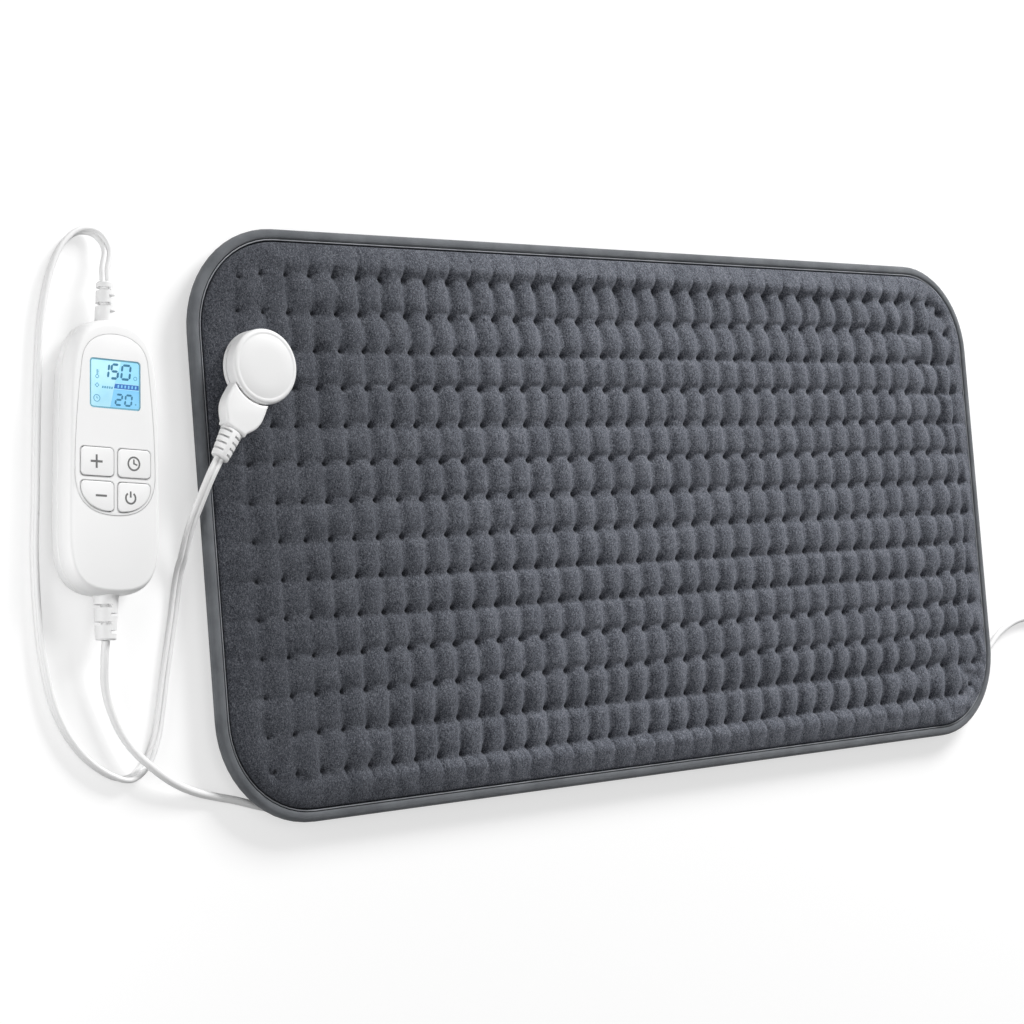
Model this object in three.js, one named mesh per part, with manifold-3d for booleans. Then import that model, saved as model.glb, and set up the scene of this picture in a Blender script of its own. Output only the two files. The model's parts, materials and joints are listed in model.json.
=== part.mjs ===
// Heating pad with a plug-in controller on a lead, laid out flat on a table.
// Millimetres, +Z up. The origin is the middle of the pad's flat back.
// X runs along the pad and Y across it. The controller lies off the pad's -X end.
import * as THREE from 'three';
import { mergeGeometries, mergeVertices } from 'three/addons/utils/BufferGeometryUtils.js';
import Module from 'manifold-3d';

const wasm = await Module();
wasm.setup();

// Clearances and facets
const seatGap = 0.3;
const runGap = 0.35;
const roundSteps = 20;
const smallSteps = 12;
const through = 40;
const weldTolerance = 1e-4;

// Pad outline and edge binding
const padLength = 600;
const padWidth = 300;
const padCornerRadius = 54;
const padCornerSteps = 5;
const bindingWidth = 7.3;
const bindingThickness = 6;
const bindingTape = 1;
const bindingFold = 1.6;
const bindingRound = 2.2;
const bindingMidHeight = 8;

// Quilted front cover
const tuftColumns = 37;
const tuftRows = 14;
const tuftMarginLeft = 32;
const tuftMarginRight = 20;
const tuftMarginTop = 24;
const tuftMarginBottom = 25;
const tuftHeight = 13;
const puffHeight = 19;
const edgeCrownHeight = 16.2;
const edgeCrownInset = 15;
const edgeShoulderHeight = 14.6;
const edgeShoulderInset = 9.2;
const tuftCornerGap = 2;

// Rear cover, a shallow tray that holds the heating layer
const backCrownWidth = 26;
const rearFloor = 4.5;
const pocketInset = 16;
const pocketDraft = 1;

// Heating layer
const carrierInset = 18.5;
const carrierThickness = 1;
const wireRadius = 0.75;
const wireRuns = 12;
const wireMarginTop = 35;
const wireMarginBottom = 45;
const wireMarginLeft = 64;
const wireMarginRight = 30;
const wireBendSteps = 5;
const wireSides = 5;

// Connector on the pad
const connectorInset = 33.3;
const connectorDrop = 72.5;
const connectorRadius = 19;
const connectorSeatHeight = 14.2;
const connectorBaseThickness = 3.1;
const connectorCapHeight = 8.1;
const connectorCapRound = 3.6;
const connectorCapCrown = 0.5;
const connectorNeckRadius = 9;
const backPlateRadius = 12.5;
const backPlateThickness = 1.3;
const connectorScrewRadius = 1.25;
const connectorScrewSpread = 5;
const pinBlockDepth = 3;
const pinRadius = 0.75;
const pinLength = 11;
const pinSpacing = 5.5;

// Pull-out plug, along its own axis from the connector's middle
const plugTurn = THREE.MathUtils.degToRad(-122.6);
const plugAxisHeight = 20.7;
const plugThickness = 8;
const plugFrontGap = 0.6;
const plugFrontWidth = 22;
const plugWaistWidth = 22.8;
const plugWaistReach = 27;
const plugTailWidth = 13;
const plugTailReach = 37.5;
const plugBevel = 1.4;
const noseWidth = 12;
const noseHeight = 5;
const noseReach = 10;
const noseRootReach = 26;
const socketClearance = 0.6;
const sleeveWall = 0.3;
const sleeveLength = 8.2;
const plugReliefLength = 15.4;
const plugReliefRootWidth = 12.4;
const plugReliefTipWidth = 9.8;
const plugReliefRootHeight = 7.6;
const plugReliefTipHeight = 6.8;
const plugReliefSlots = 4;
const plugReliefSlotWidth = 1.2;

// Controller case
const controllerStandoff = 52.3;
const controllerBelowConnector = 43.1;
const controllerTurn = THREE.MathUtils.degToRad(-4.5);
const controllerLength = 132;
const controllerWidth = 52;
const shoulderWidth = 50.3;
const bellyY = -36;
const shoulderY = 26;
const faceHeight = 18;
const partingHeight = 9;
const caseWall = 2;
const upperEdge = 4.5;
const upperEdgeHeight = 7;
const lowerEdge = 6;
const lowerEdgeHeight = 5;
const edgeSteps = 4;
const outlineSteps = 6;
const ceilingHeight = 14.5;

// Face panel and display
const panelThickness = 1.6;
const panelProud = 0.2;
const panelWidth = 43.4;
const panelNeckWidth = 36;
const panelTop = 58.4;
const panelBottom = -28.1;
const panelBellyY = -8;
const panelNeckY = 44;
const panelLedge = 0.7;
const displayWidth = 27.9;
const displayHeight = 23.8;
const displayY = 34.5;
const displayRound = 1.8;
const windowThickness = 1.4;
const moduleThickness = 2.6;
const moduleBorder = 0.4;
const holderWall = 1.6;

// Buttons and switches
const buttonWidth = 18.2;
const upperButtonHeight = 14.2;
const lowerButtonHeight = 14.7;
const buttonSpacingX = 20.1;
const upperButtonY = -3;
const lowerButtonY = -19.3;
const buttonRound = 2.2;
const buttonSweep = 11;
const buttonProud = 0.6;
const buttonBevel = 0.5;
const buttonFlange = 0.7;
const buttonFlangeThickness = 1.2;
const buttonTravel = 0.8;
const stemRadius = 2;
const switchSize = 6;
const switchHeight = 3.4;
const plungerRadius = 1.6;
const plungerHeight = 2;

// Circuit board and what it carries
const boardWidth = 27.2;
const boardTopInset = 16;
const boardBottomInset = 20;
const boardThickness = 1.6;
const boardHeight = 5;
const boardRound = 2;
const boardPostRadius = 2.2;
const boardPostX = 9;
const boardPostTopY = 42;
const boardPostBottomY = -31;

// Case screws
const screwUpperX = 20.2;
const screwUpperY = 14;
const screwLowerX = 17;
const screwLowerInset = 14;
const screwHeadRadius = 2.6;
const screwHeadHeight = 2.2;
const screwSink = 1;
const screwShankRadius = 1.4;
const screwReach = 13.4;
const pillarRadius = 4.2;
const bossRadius = 3.2;

// Strain reliefs of the controller
const reliefFlange = 1.8;
const reliefFlangeProud = 1.6;
const reliefSlotWidth = 1.7;
const leadReliefLength = 19;
const leadReliefRootRadius = 5.1;
const leadReliefTipRadius = 4.3;
const leadReliefSlots = 4;
const mainsReliefLength = 20.5;
const mainsReliefRootRadius = 6;
const mainsReliefTipRadius = 5.1;
const mainsReliefSlots = 4;

// Cords
const padLeadDiameter = 4;
const mainsDiameter = 4;
const cordSides = 8;
const padLeadSteps = 56;
const mainsSteps = 74;
const coilX = 388;
const coilY = -112;
const coilInnerRadius = 16.2;
const coilPitch = 4.45;
const coilLayerRise = 4.5;
const coilTurns = 6.25;
const coilStartAngle = Math.PI / 2;
const coilSides = 6;
const coilStepsPerTurn = 24;
const coilTail = 12;
const tieThickness = 0.8;
const tieWidth = 6;
const tieSlack = 0.8;
const tieAngle = THREE.MathUtils.degToRad(225);

// Mains plug
const mainsPlugWidth = 24;
const mainsPlugLength = 25;
const mainsPlugNeck = 20;
const mainsPlugNeckRadius = 3.6;
const mainsPlugRound = 4;
const bladeLength = 17;
const bladeWidth = 6.3;
const bladeThickness = 1.5;
const bladeSpacing = 12.7;
const bladeRoot = 5;

// Places and heights that follow from the sizes above
const connectorX = -padLength / 2 + connectorInset;
const connectorY = padWidth / 2 - connectorDrop;
const controllerX = -padLength / 2 - controllerStandoff;
const controllerY = connectorY - controllerBelowConnector;
const screwLowerY = -controllerLength / 2 + screwLowerInset;
const boardTop = controllerLength / 2 - boardTopInset;
const boardBottom = -controllerLength / 2 + boardBottomInset;
const wireFirstRun = padWidth / 2 - wireMarginTop;
const wirePitch = (padWidth - wireMarginTop - wireMarginBottom) / (wireRuns - 1);
const wireLeft = -padLength / 2 + wireMarginLeft;
const wireRight = padLength / 2 - wireMarginRight;
const bindingTop = bindingMidHeight + bindingThickness / 2;
const bindingBottom = bindingMidHeight - bindingThickness / 2;
const slotHeight = bindingThickness - 2 * bindingTape;
const rimThickness = (slotHeight - 3 * seatGap) / 2;
const frontUnderside = bindingMidHeight + seatGap / 2;
const rearRimTop = bindingMidHeight - seatGap / 2;
const rimInset = bindingFold + 2 * seatGap;
const neckInset = bindingWidth + seatGap;
const carrierBottom = rearFloor + seatGap;
const wireHeight = carrierBottom + carrierThickness + seatGap + wireRadius;
const baseBottom = connectorSeatHeight + seatGap;
const baseTop = baseBottom + connectorBaseThickness;
const capBottom = baseTop + seatGap;
const backPlateTop = frontUnderside - seatGap;
const socketWidth = noseWidth + 2 * socketClearance;
const socketTop = plugAxisHeight + noseHeight / 2 + socketClearance;
const noseTip = connectorRadius - noseReach;
const pinBlockFront = noseTip - socketClearance - seatGap;
const pinBlockBack = pinBlockFront - pinBlockDepth;
const plugReliefStart = plugTailReach + seatGap;
const plugReliefEnd = plugReliefStart + plugReliefLength;
const panelUnderside = faceHeight + panelProud - panelThickness;
const ledgeHeight = panelUnderside - seatGap;
const moduleTop = ledgeHeight;
const moduleBottom = moduleTop - moduleThickness;
const boardFace = boardHeight + boardThickness + seatGap;
const switchTop = boardFace + switchHeight;
const plungerTop = switchTop + plungerHeight / 2;
const flangeTop = panelUnderside - 2 * seatGap;
const flangeBottom = flangeTop - buttonFlangeThickness;
const coilLowHeight = tieThickness + seatGap + mainsDiameter / 2;
const coilOuterRadius = coilInnerRadius + coilPitch * coilTurns / 2;

// A geometry with shared corner points and no empty triangles
function welded(geometry) {
  const bare = geometry.clone();
  bare.deleteAttribute('normal');
  bare.deleteAttribute('uv');
  const shared = mergeVertices(bare, weldTolerance);
  const corners = shared.index.array;
  const kept = [];
  for (let i = 0; i < corners.length; i += 3) {
    const [a, b, c] = corners.slice(i, i + 3);
    if (a !== b && b !== c && c !== a) {
      kept.push(a, b, c);
    }
  }
  shared.setIndex(kept);
  return shared;
}

function toSolid(geometry) {
  const shared = welded(geometry);
  return new wasm.Manifold(new wasm.Mesh({
    numProp: 3,
    vertProperties: new Float32Array(shared.attributes.position.array),
    triVerts: new Uint32Array(shared.index.array),
  }));
}

function toGeometry(solid) {
  const mesh = solid.getMesh();
  const geometry = new THREE.BufferGeometry();
  geometry.setAttribute('position', new THREE.BufferAttribute(new Float32Array(mesh.vertProperties), 3));
  geometry.setIndex(new THREE.BufferAttribute(new Uint32Array(mesh.triVerts), 1));
  return geometry;
}

function carve(geometry, tools) {
  const solid = tools.reduce((rest, tool) => rest.subtract(toSolid(tool)), toSolid(geometry));
  return toGeometry(solid);
}

function fuse(pieces) {
  const [first, ...others] = pieces.map(toSolid);
  return toGeometry(others.reduce((whole, piece) => whole.add(piece), first));
}

// Joins open surfaces that share their edges
function stitch(surfaces) {
  return welded(mergeGeometries(surfaces));
}

function surface(points, index) {
  const geometry = new THREE.BufferGeometry();
  geometry.setFromPoints(points);
  geometry.setIndex(index);
  return geometry;
}

// Skins a stack of rings with equal counts of points, from the lowest ring to the highest
function skin(rings, { looped = false, lowCap = true, highCap = true } = {}) {
  const count = rings[0].length;
  const index = [];
  const bands = looped ? rings.length : rings.length - 1;
  for (let band = 0; band < bands; band += 1) {
    const low = band * count;
    const high = ((band + 1) % rings.length) * count;
    for (let i = 0; i < count; i += 1) {
      const next = (i + 1) % count;
      index.push(low + i, low + next, high + next);
      index.push(low + i, high + next, high + i);
    }
  }
  const last = (rings.length - 1) * count;
  for (let i = 1; i < count - 1; i += 1) {
    if (lowCap && !looped) {
      index.push(0, i + 1, i);
    }
    if (highCap && !looped) {
      index.push(last, last + i, last + i + 1);
    }
  }
  return surface(rings.flat(), index);
}

function post(radius, low, high, x = 0, y = 0, steps = roundSteps) {
  const geometry = new THREE.CylinderGeometry(radius, radius, high - low, steps);
  return geometry.rotateX(Math.PI / 2).translate(x, y, (low + high) / 2);
}

function rod(radius, from, to, y, z, steps = smallSteps) {
  const geometry = new THREE.CylinderGeometry(radius, radius, to - from, steps);
  return geometry.rotateZ(Math.PI / 2).translate((from + to) / 2, y, z);
}

function block(x, y, z) {
  const geometry = new THREE.BoxGeometry(x[1] - x[0], y[1] - y[0], z[1] - z[0]);
  return geometry.translate((x[0] + x[1]) / 2, (y[0] + y[1]) / 2, (z[0] + z[1]) / 2);
}

function span(middle, size) {
  return [middle - size / 2, middle + size / 2];
}

function revolve(profile, steps = roundSteps) {
  const points = profile.map(([radius, height]) => new THREE.Vector2(radius, height));
  return new THREE.LatheGeometry(points, steps).rotateX(Math.PI / 2);
}

function slab(shape, low, high, curveSegments = 2) {
  const options = { depth: high - low, bevelEnabled: false, curveSegments };
  return new THREE.ExtrudeGeometry(shape, options).translate(0, 0, low);
}

// The corner points of a shape, anticlockwise and without repeats
function outlineOf(shape, steps) {
  const points = shape.getPoints(steps);
  const kept = points.filter((here, i) => here.distanceTo(points[(i + 1) % points.length]) > 1e-3);
  return THREE.ShapeUtils.isClockWise(kept) ? kept.reverse() : kept;
}

// The outline moved inwards by the same distance everywhere
function insetOutline(outline, inset) {
  return outline.map((here, i) => {
    const before = outline[(i + outline.length - 1) % outline.length];
    const after = outline[(i + 1) % outline.length];
    const arriving = here.clone().sub(before).normalize();
    const leaving = after.clone().sub(here).normalize();
    const inward = new THREE.Vector2(-arriving.y - leaving.y, arriving.x + leaving.x);
    return here.clone().addScaledVector(inward, 2 * inset / inward.lengthSq());
  });
}

// A slab whose top and bottom edges are rounded inside its outline
function pillow(shape, low, high, bevel, steps = 2) {
  const outline = outlineOf(shape, steps);
  const level = (inset, height) => (
    insetOutline(outline, inset).map(({ x, y }) => new THREE.Vector3(x, y, height))
  );
  const edge = [0, 0.5, 1].map((part) => {
    const angle = part * Math.PI / 2;
    return [bevel * (1 - Math.sin(angle)), bevel * (1 - Math.cos(angle))];
  });
  const rings = [
    ...edge.map(([inset, rise]) => level(inset, low + rise)),
    ...edge.reverse().map(([inset, rise]) => level(inset, high - rise)),
  ];
  const faces = THREE.ShapeUtils.triangulateShape(insetOutline(outline, bevel), []);
  const lowCap = surface(rings[0], faces.flatMap(([a, b, c]) => [a, c, b]));
  const highCap = surface(rings.at(-1), faces.flat());
  return stitch([skin(rings, { lowCap: false, highCap: false }), lowCap, highCap]);
}

function roundedRect(width, height, radius, x = 0, y = 0) {
  const [left, right] = span(x, width);
  const [bottom, top] = span(y, height);
  const shape = new THREE.Shape();
  shape.moveTo(left + radius, bottom);
  shape.lineTo(right - radius, bottom);
  shape.absarc(right - radius, bottom + radius, radius, -Math.PI / 2, 0);
  shape.lineTo(right, top - radius);
  shape.absarc(right - radius, top - radius, radius, 0, Math.PI / 2);
  shape.lineTo(left + radius, top);
  shape.absarc(left + radius, top - radius, radius, Math.PI / 2, Math.PI);
  shape.lineTo(left, bottom + radius);
  shape.absarc(left + radius, bottom + radius, radius, Math.PI, Math.PI * 1.5);
  return shape;
}

// A tube of flat facets along a row of points, closed at both ends
function sweep(points, radius, sides) {
  const path = points.map((point, i) => {
    const before = points[Math.max(i - 1, 0)];
    const after = points[Math.min(i + 1, points.length - 1)];
    return { point, along: after.clone().sub(before).normalize() };
  });
  const rings = path.map(({ point, along }) => {
    const side = new THREE.Vector3(0, 0, 1).cross(along).normalize();
    const up = along.clone().cross(side);
    return Array.from({ length: sides }, (_, i) => {
      const angle = (i / sides) * 2 * Math.PI;
      const ring = point.clone().addScaledVector(side, radius * Math.cos(angle));
      return ring.addScaledVector(up, radius * Math.sin(angle));
    });
  });
  return skin(rings);
}

// A cord of round section along a smooth curve through chosen points
function cordTube(points, diameter, steps) {
  const section = new THREE.Shape();
  section.absarc(0, 0, diameter / 2, 0, 2 * Math.PI);
  const options = {
    steps,
    curveSegments: cordSides / 2,
    bevelEnabled: false,
    extrudePath: new THREE.CatmullRomCurve3(points),
  };
  return new THREE.ExtrudeGeometry(section, options);
}

const heatingPad = new THREE.Group();

function addPart(group, name, geometry, finish) {
  const mesh = new THREE.Mesh(welded(geometry), new THREE.MeshStandardMaterial(finish));
  mesh.name = name;
  group.add(mesh);
  return mesh;
}

// Finishes
const plush = { color: 0x454952, roughness: 0.95, metalness: 0 };
const bindingCloth = { color: 0x4c4f54, roughness: 0.85, metalness: 0 };
const backCloth = { color: 0x3d4047, roughness: 0.9, metalness: 0 };
const felt = { color: 0xd9d6cc, roughness: 0.95, metalness: 0 };
const wireSheath = { color: 0xb9503c, roughness: 0.5, metalness: 0 };
const whitePlastic = { color: 0xf0f0ef, roughness: 0.35, metalness: 0 };
const whiteRubber = { color: 0xeeeeec, roughness: 0.5, metalness: 0 };
const clearWindow = { color: 0x9fdcf2, roughness: 0.08, metalness: 0 };
const displayGlass = { color: 0x7fcdea, roughness: 0.2, metalness: 0 };
const boardGreen = { color: 0x1f5a3a, roughness: 0.6, metalness: 0 };
const blackPlastic = { color: 0x1c1d1f, roughness: 0.5, metalness: 0 };
const amberFilm = { color: 0xa8742c, roughness: 0.4, metalness: 0 };
const brass = { color: 0xb99a55, roughness: 0.3, metalness: 1 };
const steel = { color: 0xb8bbbf, roughness: 0.3, metalness: 1 };

// Pad

// The pad's outline drawn in by an inset, at a height
function padRing(inset, height) {
  const radius = padCornerRadius - inset;
  const cornerX = padLength / 2 - padCornerRadius;
  const cornerY = padWidth / 2 - padCornerRadius;
  const corners = [[1, -1], [1, 1], [-1, 1], [-1, -1]];
  return corners.flatMap(([signX, signY], quarter) => (
    Array.from({ length: padCornerSteps + 1 }, (_, step) => {
      const angle = (quarter - 1 + step / padCornerSteps) * Math.PI / 2;
      const x = signX * cornerX + radius * Math.cos(angle);
      const y = signY * cornerY + radius * Math.sin(angle);
      return new THREE.Vector3(x, y, height);
    })
  ));
}

// Moves a tuft that would lie outside the rounded corner back inside it
function insideCrown(x, y) {
  const cornerX = padLength / 2 - padCornerRadius;
  const cornerY = padWidth / 2 - padCornerRadius;
  const limit = padCornerRadius - edgeCrownInset - tuftCornerGap;
  const beyondX = Math.abs(x) - cornerX;
  const beyondY = Math.abs(y) - cornerY;
  const reach = Math.hypot(beyondX, beyondY);
  if (beyondX < 0 || beyondY < 0 || reach < limit) {
    return [x, y];
  }
  const back = limit / reach;
  return [Math.sign(x) * (cornerX + beyondX * back), Math.sign(y) * (cornerY + beyondY * back)];
}

// Fills the strip between an outer and an inner loop, always with the shorter next edge
function bridge(points, outer, inner) {
  const apart = (i, j) => points[outer[i % outer.length]].distanceTo(points[inner[j % inner.length]]);
  const nearest = inner.reduce((best, _, j) => (apart(0, j) < apart(0, best) ? j : best), 0);
  const index = [];
  let i = 0;
  let j = nearest;
  while (i < outer.length || j < nearest + inner.length) {
    const outerHere = outer[i % outer.length];
    const innerHere = inner[j % inner.length];
    const outerDone = i === outer.length;
    const innerDone = j === nearest + inner.length;
    if (innerDone || (!outerDone && apart(i + 1, j) < apart(i, j + 1))) {
      i += 1;
      index.push(outerHere, outer[i % outer.length], innerHere);
    } else {
      j += 1;
      index.push(outerHere, inner[j % inner.length], innerHere);
    }
  }
  return index;
}

// Tufts are sewn low, the cloth between four of them stands up as a puff
function quiltedTop(crown) {
  const left = -padLength / 2 + tuftMarginLeft;
  const bottom = -padWidth / 2 + tuftMarginBottom;
  const pitchX = (padLength - tuftMarginLeft - tuftMarginRight) / (tuftColumns - 1);
  const pitchY = (padWidth - tuftMarginTop - tuftMarginBottom) / (tuftRows - 1);
  const place = (row, column, height) => {
    const [x, y] = insideCrown(left + column * pitchX, bottom + row * pitchY);
    return new THREE.Vector3(x, y, height);
  };
  const points = [];
  const index = [];
  const tuft = (row, column) => row * tuftColumns + column;
  for (let row = 0; row < tuftRows; row += 1) {
    for (let column = 0; column < tuftColumns; column += 1) {
      points.push(place(row, column, tuftHeight));
    }
  }
  for (let row = 0; row < tuftRows - 1; row += 1) {
    for (let column = 0; column < tuftColumns - 1; column += 1) {
      const middle = points.push(place(row + 0.5, column + 0.5, puffHeight)) - 1;
      const around = [tuft(row, column), tuft(row, column + 1), tuft(row + 1, column + 1), tuft(row + 1, column)];
      around.forEach((corner, i) => index.push(corner, around[(i + 1) % 4], middle));
    }
  }
  const border = [];
  for (let column = 0; column < tuftColumns - 1; column += 1) {
    border.push(tuft(0, column));
  }
  for (let row = 0; row < tuftRows - 1; row += 1) {
    border.push(tuft(row, tuftColumns - 1));
  }
  for (let column = tuftColumns - 1; column > 0; column -= 1) {
    border.push(tuft(tuftRows - 1, column));
  }
  for (let row = tuftRows - 1; row > 0; row -= 1) {
    border.push(tuft(row, 0));
  }
  const crownStart = points.length;
  points.push(...crown);
  const outer = crown.map((_, i) => crownStart + i);
  index.push(...bridge(points, outer, border));
  return surface(points, index);
}

function frontCover() {
  const rimTop = frontUnderside + rimThickness;
  const crown = padRing(edgeCrownInset, edgeCrownHeight);
  const skirt = skin([
    padRing(rimInset, frontUnderside),
    padRing(rimInset, rimTop),
    padRing(neckInset, rimTop),
    padRing(neckInset, bindingTop + seatGap),
    padRing(edgeShoulderInset, edgeShoulderHeight),
    crown,
  ], { highCap: false });
  const quilt = stitch([skirt, quiltedTop(crown)]);
  const seat = post(connectorRadius + seatGap, connectorSeatHeight, through, connectorX, connectorY);
  const neckHole = post(connectorNeckRadius + seatGap, 0, through, connectorX, connectorY);
  return carve(quilt, [seat, neckHole]);
}

function rearCover() {
  const rimBottom = rearRimTop - rimThickness;
  const crownWidth = backCrownWidth - neckInset;
  return skin([
    padRing(backCrownWidth, 0),
    padRing(backCrownWidth - crownWidth * 0.45, rimBottom * 0.18),
    padRing(backCrownWidth - crownWidth * 0.8, rimBottom * 0.55),
    padRing(neckInset, rimBottom),
    padRing(rimInset, rimBottom),
    padRing(rimInset, rearRimTop),
    padRing(pocketInset, rearRimTop),
    padRing(pocketInset + pocketDraft, rearFloor),
  ]);
}

// Folded tape that closes the edges of both covers
function edgeBinding() {
  const lowLip = bindingBottom + bindingTape;
  const highLip = bindingTop - bindingTape;
  const roundInset = bindingRound * 0.28;
  return skin([
    padRing(bindingRound, bindingBottom),
    padRing(roundInset, bindingBottom + bindingThickness * 0.2),
    padRing(0, bindingMidHeight),
    padRing(roundInset, bindingTop - bindingThickness * 0.2),
    padRing(bindingRound, bindingTop),
    padRing(bindingWidth, bindingTop),
    padRing(bindingWidth, highLip),
    padRing(bindingFold, highLip),
    padRing(bindingFold, lowLip),
    padRing(bindingWidth, lowLip),
    padRing(bindingWidth, bindingBottom),
  ], { looped: true });
}

function wireCarrier() {
  return skin([padRing(carrierInset, carrierBottom), padRing(carrierInset, carrierBottom + carrierThickness)]);
}

// The wire leaves the connector's backing plate, crosses the pad in runs and comes back to it
function heatingWire() {
  const plateEdge = backPlateRadius + seatGap;
  const points = [];
  const add = (x, y) => points.push(new THREE.Vector3(x, y, wireHeight));
  const bend = (x, y, radius, from, to) => {
    for (let step = 0; step <= wireBendSteps; step += 1) {
      const angle = from + (to - from) * step / wireBendSteps;
      add(x + radius * Math.cos(angle), y + radius * Math.sin(angle));
    }
  };
  const turn = wirePitch / 2;
  const lastRun = wireFirstRun - wirePitch * (wireRuns - 1);
  add(connectorX, connectorY + plateEdge);
  bend(connectorX + turn, wireFirstRun - turn, turn, Math.PI, Math.PI / 2);
  for (let run = 0; run < wireRuns - 1; run += 1) {
    const middle = wireFirstRun - wirePitch * (run + 0.5);
    if (run % 2 === 0) {
      bend(wireRight, middle, turn, Math.PI / 2, -Math.PI / 2);
    } else {
      bend(wireLeft, middle, turn, Math.PI / 2, Math.PI * 1.5);
    }
  }
  bend(connectorX + turn, lastRun + turn, turn, Math.PI * 1.5, Math.PI);
  add(connectorX, connectorY - plateEdge);
  return sweep(points, wireRadius, wireSides);
}

addPart(heatingPad, 'front_cover', frontCover(), plush);
addPart(heatingPad, 'rear_cover', rearCover(), backCloth);
addPart(heatingPad, 'edge_binding', edgeBinding(), bindingCloth);
addPart(heatingPad, 'wire_carrier', wireCarrier(), felt);
addPart(heatingPad, 'heating_wire', heatingWire(), wireSheath);

// Connector and pull-out plug, in a frame whose X runs out along the plug
const connector = new THREE.Group();
connector.position.set(connectorX, connectorY, 0);
connector.rotation.z = plugTurn;
heatingPad.add(connector);

// Two screws hold the base's neck to the backing plate, across the plug's axis
function connectorScrewPlaces() {
  return [-1, 1].map((side) => new THREE.Vector3(0, side * connectorScrewSpread, 0));
}

function connectorBase() {
  const edge = 0.8;
  const base = revolve([
    [0, frontUnderside],
    [connectorNeckRadius, frontUnderside],
    [connectorNeckRadius, baseBottom],
    [connectorRadius - edge, baseBottom],
    [connectorRadius, baseBottom + edge],
    [connectorRadius, baseTop],
    [0, baseTop],
  ], 2 * roundSteps);
  const holes = connectorScrewPlaces().map(({ x, y }) => (
    post(connectorScrewRadius + seatGap, 0, through, x, y, smallSteps)
  ));
  return carve(base, holes);
}

function connectorCap() {
  const top = capBottom + connectorCapHeight;
  const profile = [[0, capBottom], [connectorRadius, capBottom]];
  for (let step = 0; step <= edgeSteps; step += 1) {
    const angle = (step / edgeSteps) * Math.PI / 2;
    const radius = connectorRadius - connectorCapRound * (1 - Math.cos(angle));
    profile.push([radius, top - connectorCapCrown - connectorCapRound * (1 - Math.sin(angle))]);
  }
  profile.push([0, top]);
  const socket = block([pinBlockBack - seatGap, through], span(0, socketWidth), [0, socketTop]);
  const heads = connectorScrewPlaces().map(({ x, y }) => (
    post(connectorScrewRadius + seatGap, 0, baseTop + 2 * seatGap + 2.5, x, y, smallSteps)
  ));
  return carve(revolve(profile, 2 * roundSteps), [socket, ...heads]);
}

function pinBlock() {
  const width = socketWidth - 2 * seatGap;
  const body = block([pinBlockBack, pinBlockFront], span(0, width), [capBottom, socketTop - seatGap]);
  const holes = [-1, 1].map((side) => (
    rod(pinRadius + seatGap, pinBlockBack - 1, pinBlockFront + 1, side * pinSpacing / 2, plugAxisHeight)
  ));
  return carve(body, holes);
}

addPart(connector, 'connector_base', connectorBase(), whitePlastic);
addPart(connector, 'connector_cap', connectorCap(), whitePlastic);
addPart(connector, 'pin_block', pinBlock(), whitePlastic);
[-1, 1].forEach((side, i) => {
  const pin = rod(pinRadius, pinBlockBack, pinBlockBack + pinLength, side * pinSpacing / 2, plugAxisHeight);
  addPart(connector, `contact_pin_${i + 1}`, pin, brass);
});
const backPlate = post(backPlateRadius, backPlateTop - backPlateThickness, backPlateTop);
addPart(connector, 'backing_plate', backPlate, steel);
connectorScrewPlaces().forEach(({ x, y }, i) => {
  const screw = post(connectorScrewRadius, backPlateTop + seatGap, baseTop + 2, x, y, smallSteps);
  addPart(connector, `connector_screw_${i + 1}`, screw, steel);
});

// Grip of the plug: its front is hollowed to the connector's rim, its tail narrows to the lead
function plugGrip() {
  const half = plugFrontWidth / 2;
  const frontRadius = connectorRadius + plugFrontGap;
  const frontAngle = Math.asin(half / frontRadius);
  const front = frontRadius * Math.cos(frontAngle);
  const shape = new THREE.Shape();
  shape.moveTo(front, -half);
  shape.quadraticCurveTo(plugWaistReach - 3, -plugWaistWidth / 2 - 0.6, plugWaistReach, -plugWaistWidth / 2);
  shape.bezierCurveTo(plugWaistReach + 5, -plugWaistWidth / 2 + 0.6, plugTailReach - 4, -plugTailWidth / 2 - 2,
    plugTailReach, -plugTailWidth / 2);
  shape.lineTo(plugTailReach, plugTailWidth / 2);
  shape.bezierCurveTo(plugTailReach - 4, plugTailWidth / 2 + 2, plugWaistReach + 5, plugWaistWidth / 2 - 0.6,
    plugWaistReach, plugWaistWidth / 2);
  shape.quadraticCurveTo(plugWaistReach - 3, plugWaistWidth / 2 + 0.6, front, half);
  shape.absarc(0, 0, frontRadius, frontAngle, -frontAngle, true);
  const [low, high] = span(plugAxisHeight, plugThickness);
  const pocket = block([0, noseRootReach + seatGap], span(0, noseWidth + 2 * seatGap),
    span(plugAxisHeight, noseHeight + 2 * seatGap));
  return carve(pillow(shape, low, high, plugBevel, 6), [pocket]);
}

// Insert that carries the contact sleeves, with its nose in the socket
function plugInsert() {
  const body = block([noseTip, noseRootReach], span(0, noseWidth), span(plugAxisHeight, noseHeight));
  const holes = [-1, 1].map((side) => (
    rod(pinRadius + 3 * seatGap + sleeveWall, 0, noseTip + sleeveLength + 2 * seatGap, side * pinSpacing / 2,
      plugAxisHeight)
  ));
  return carve(body, holes);
}

function contactSleeve(side) {
  const inner = pinRadius + seatGap;
  const start = noseTip + seatGap;
  const outside = rod(inner + sleeveWall, start, start + sleeveLength, side * pinSpacing / 2, plugAxisHeight);
  const bore = rod(inner, 0, through, side * pinSpacing / 2, plugAxisHeight);
  return carve(outside, [bore]);
}

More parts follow.
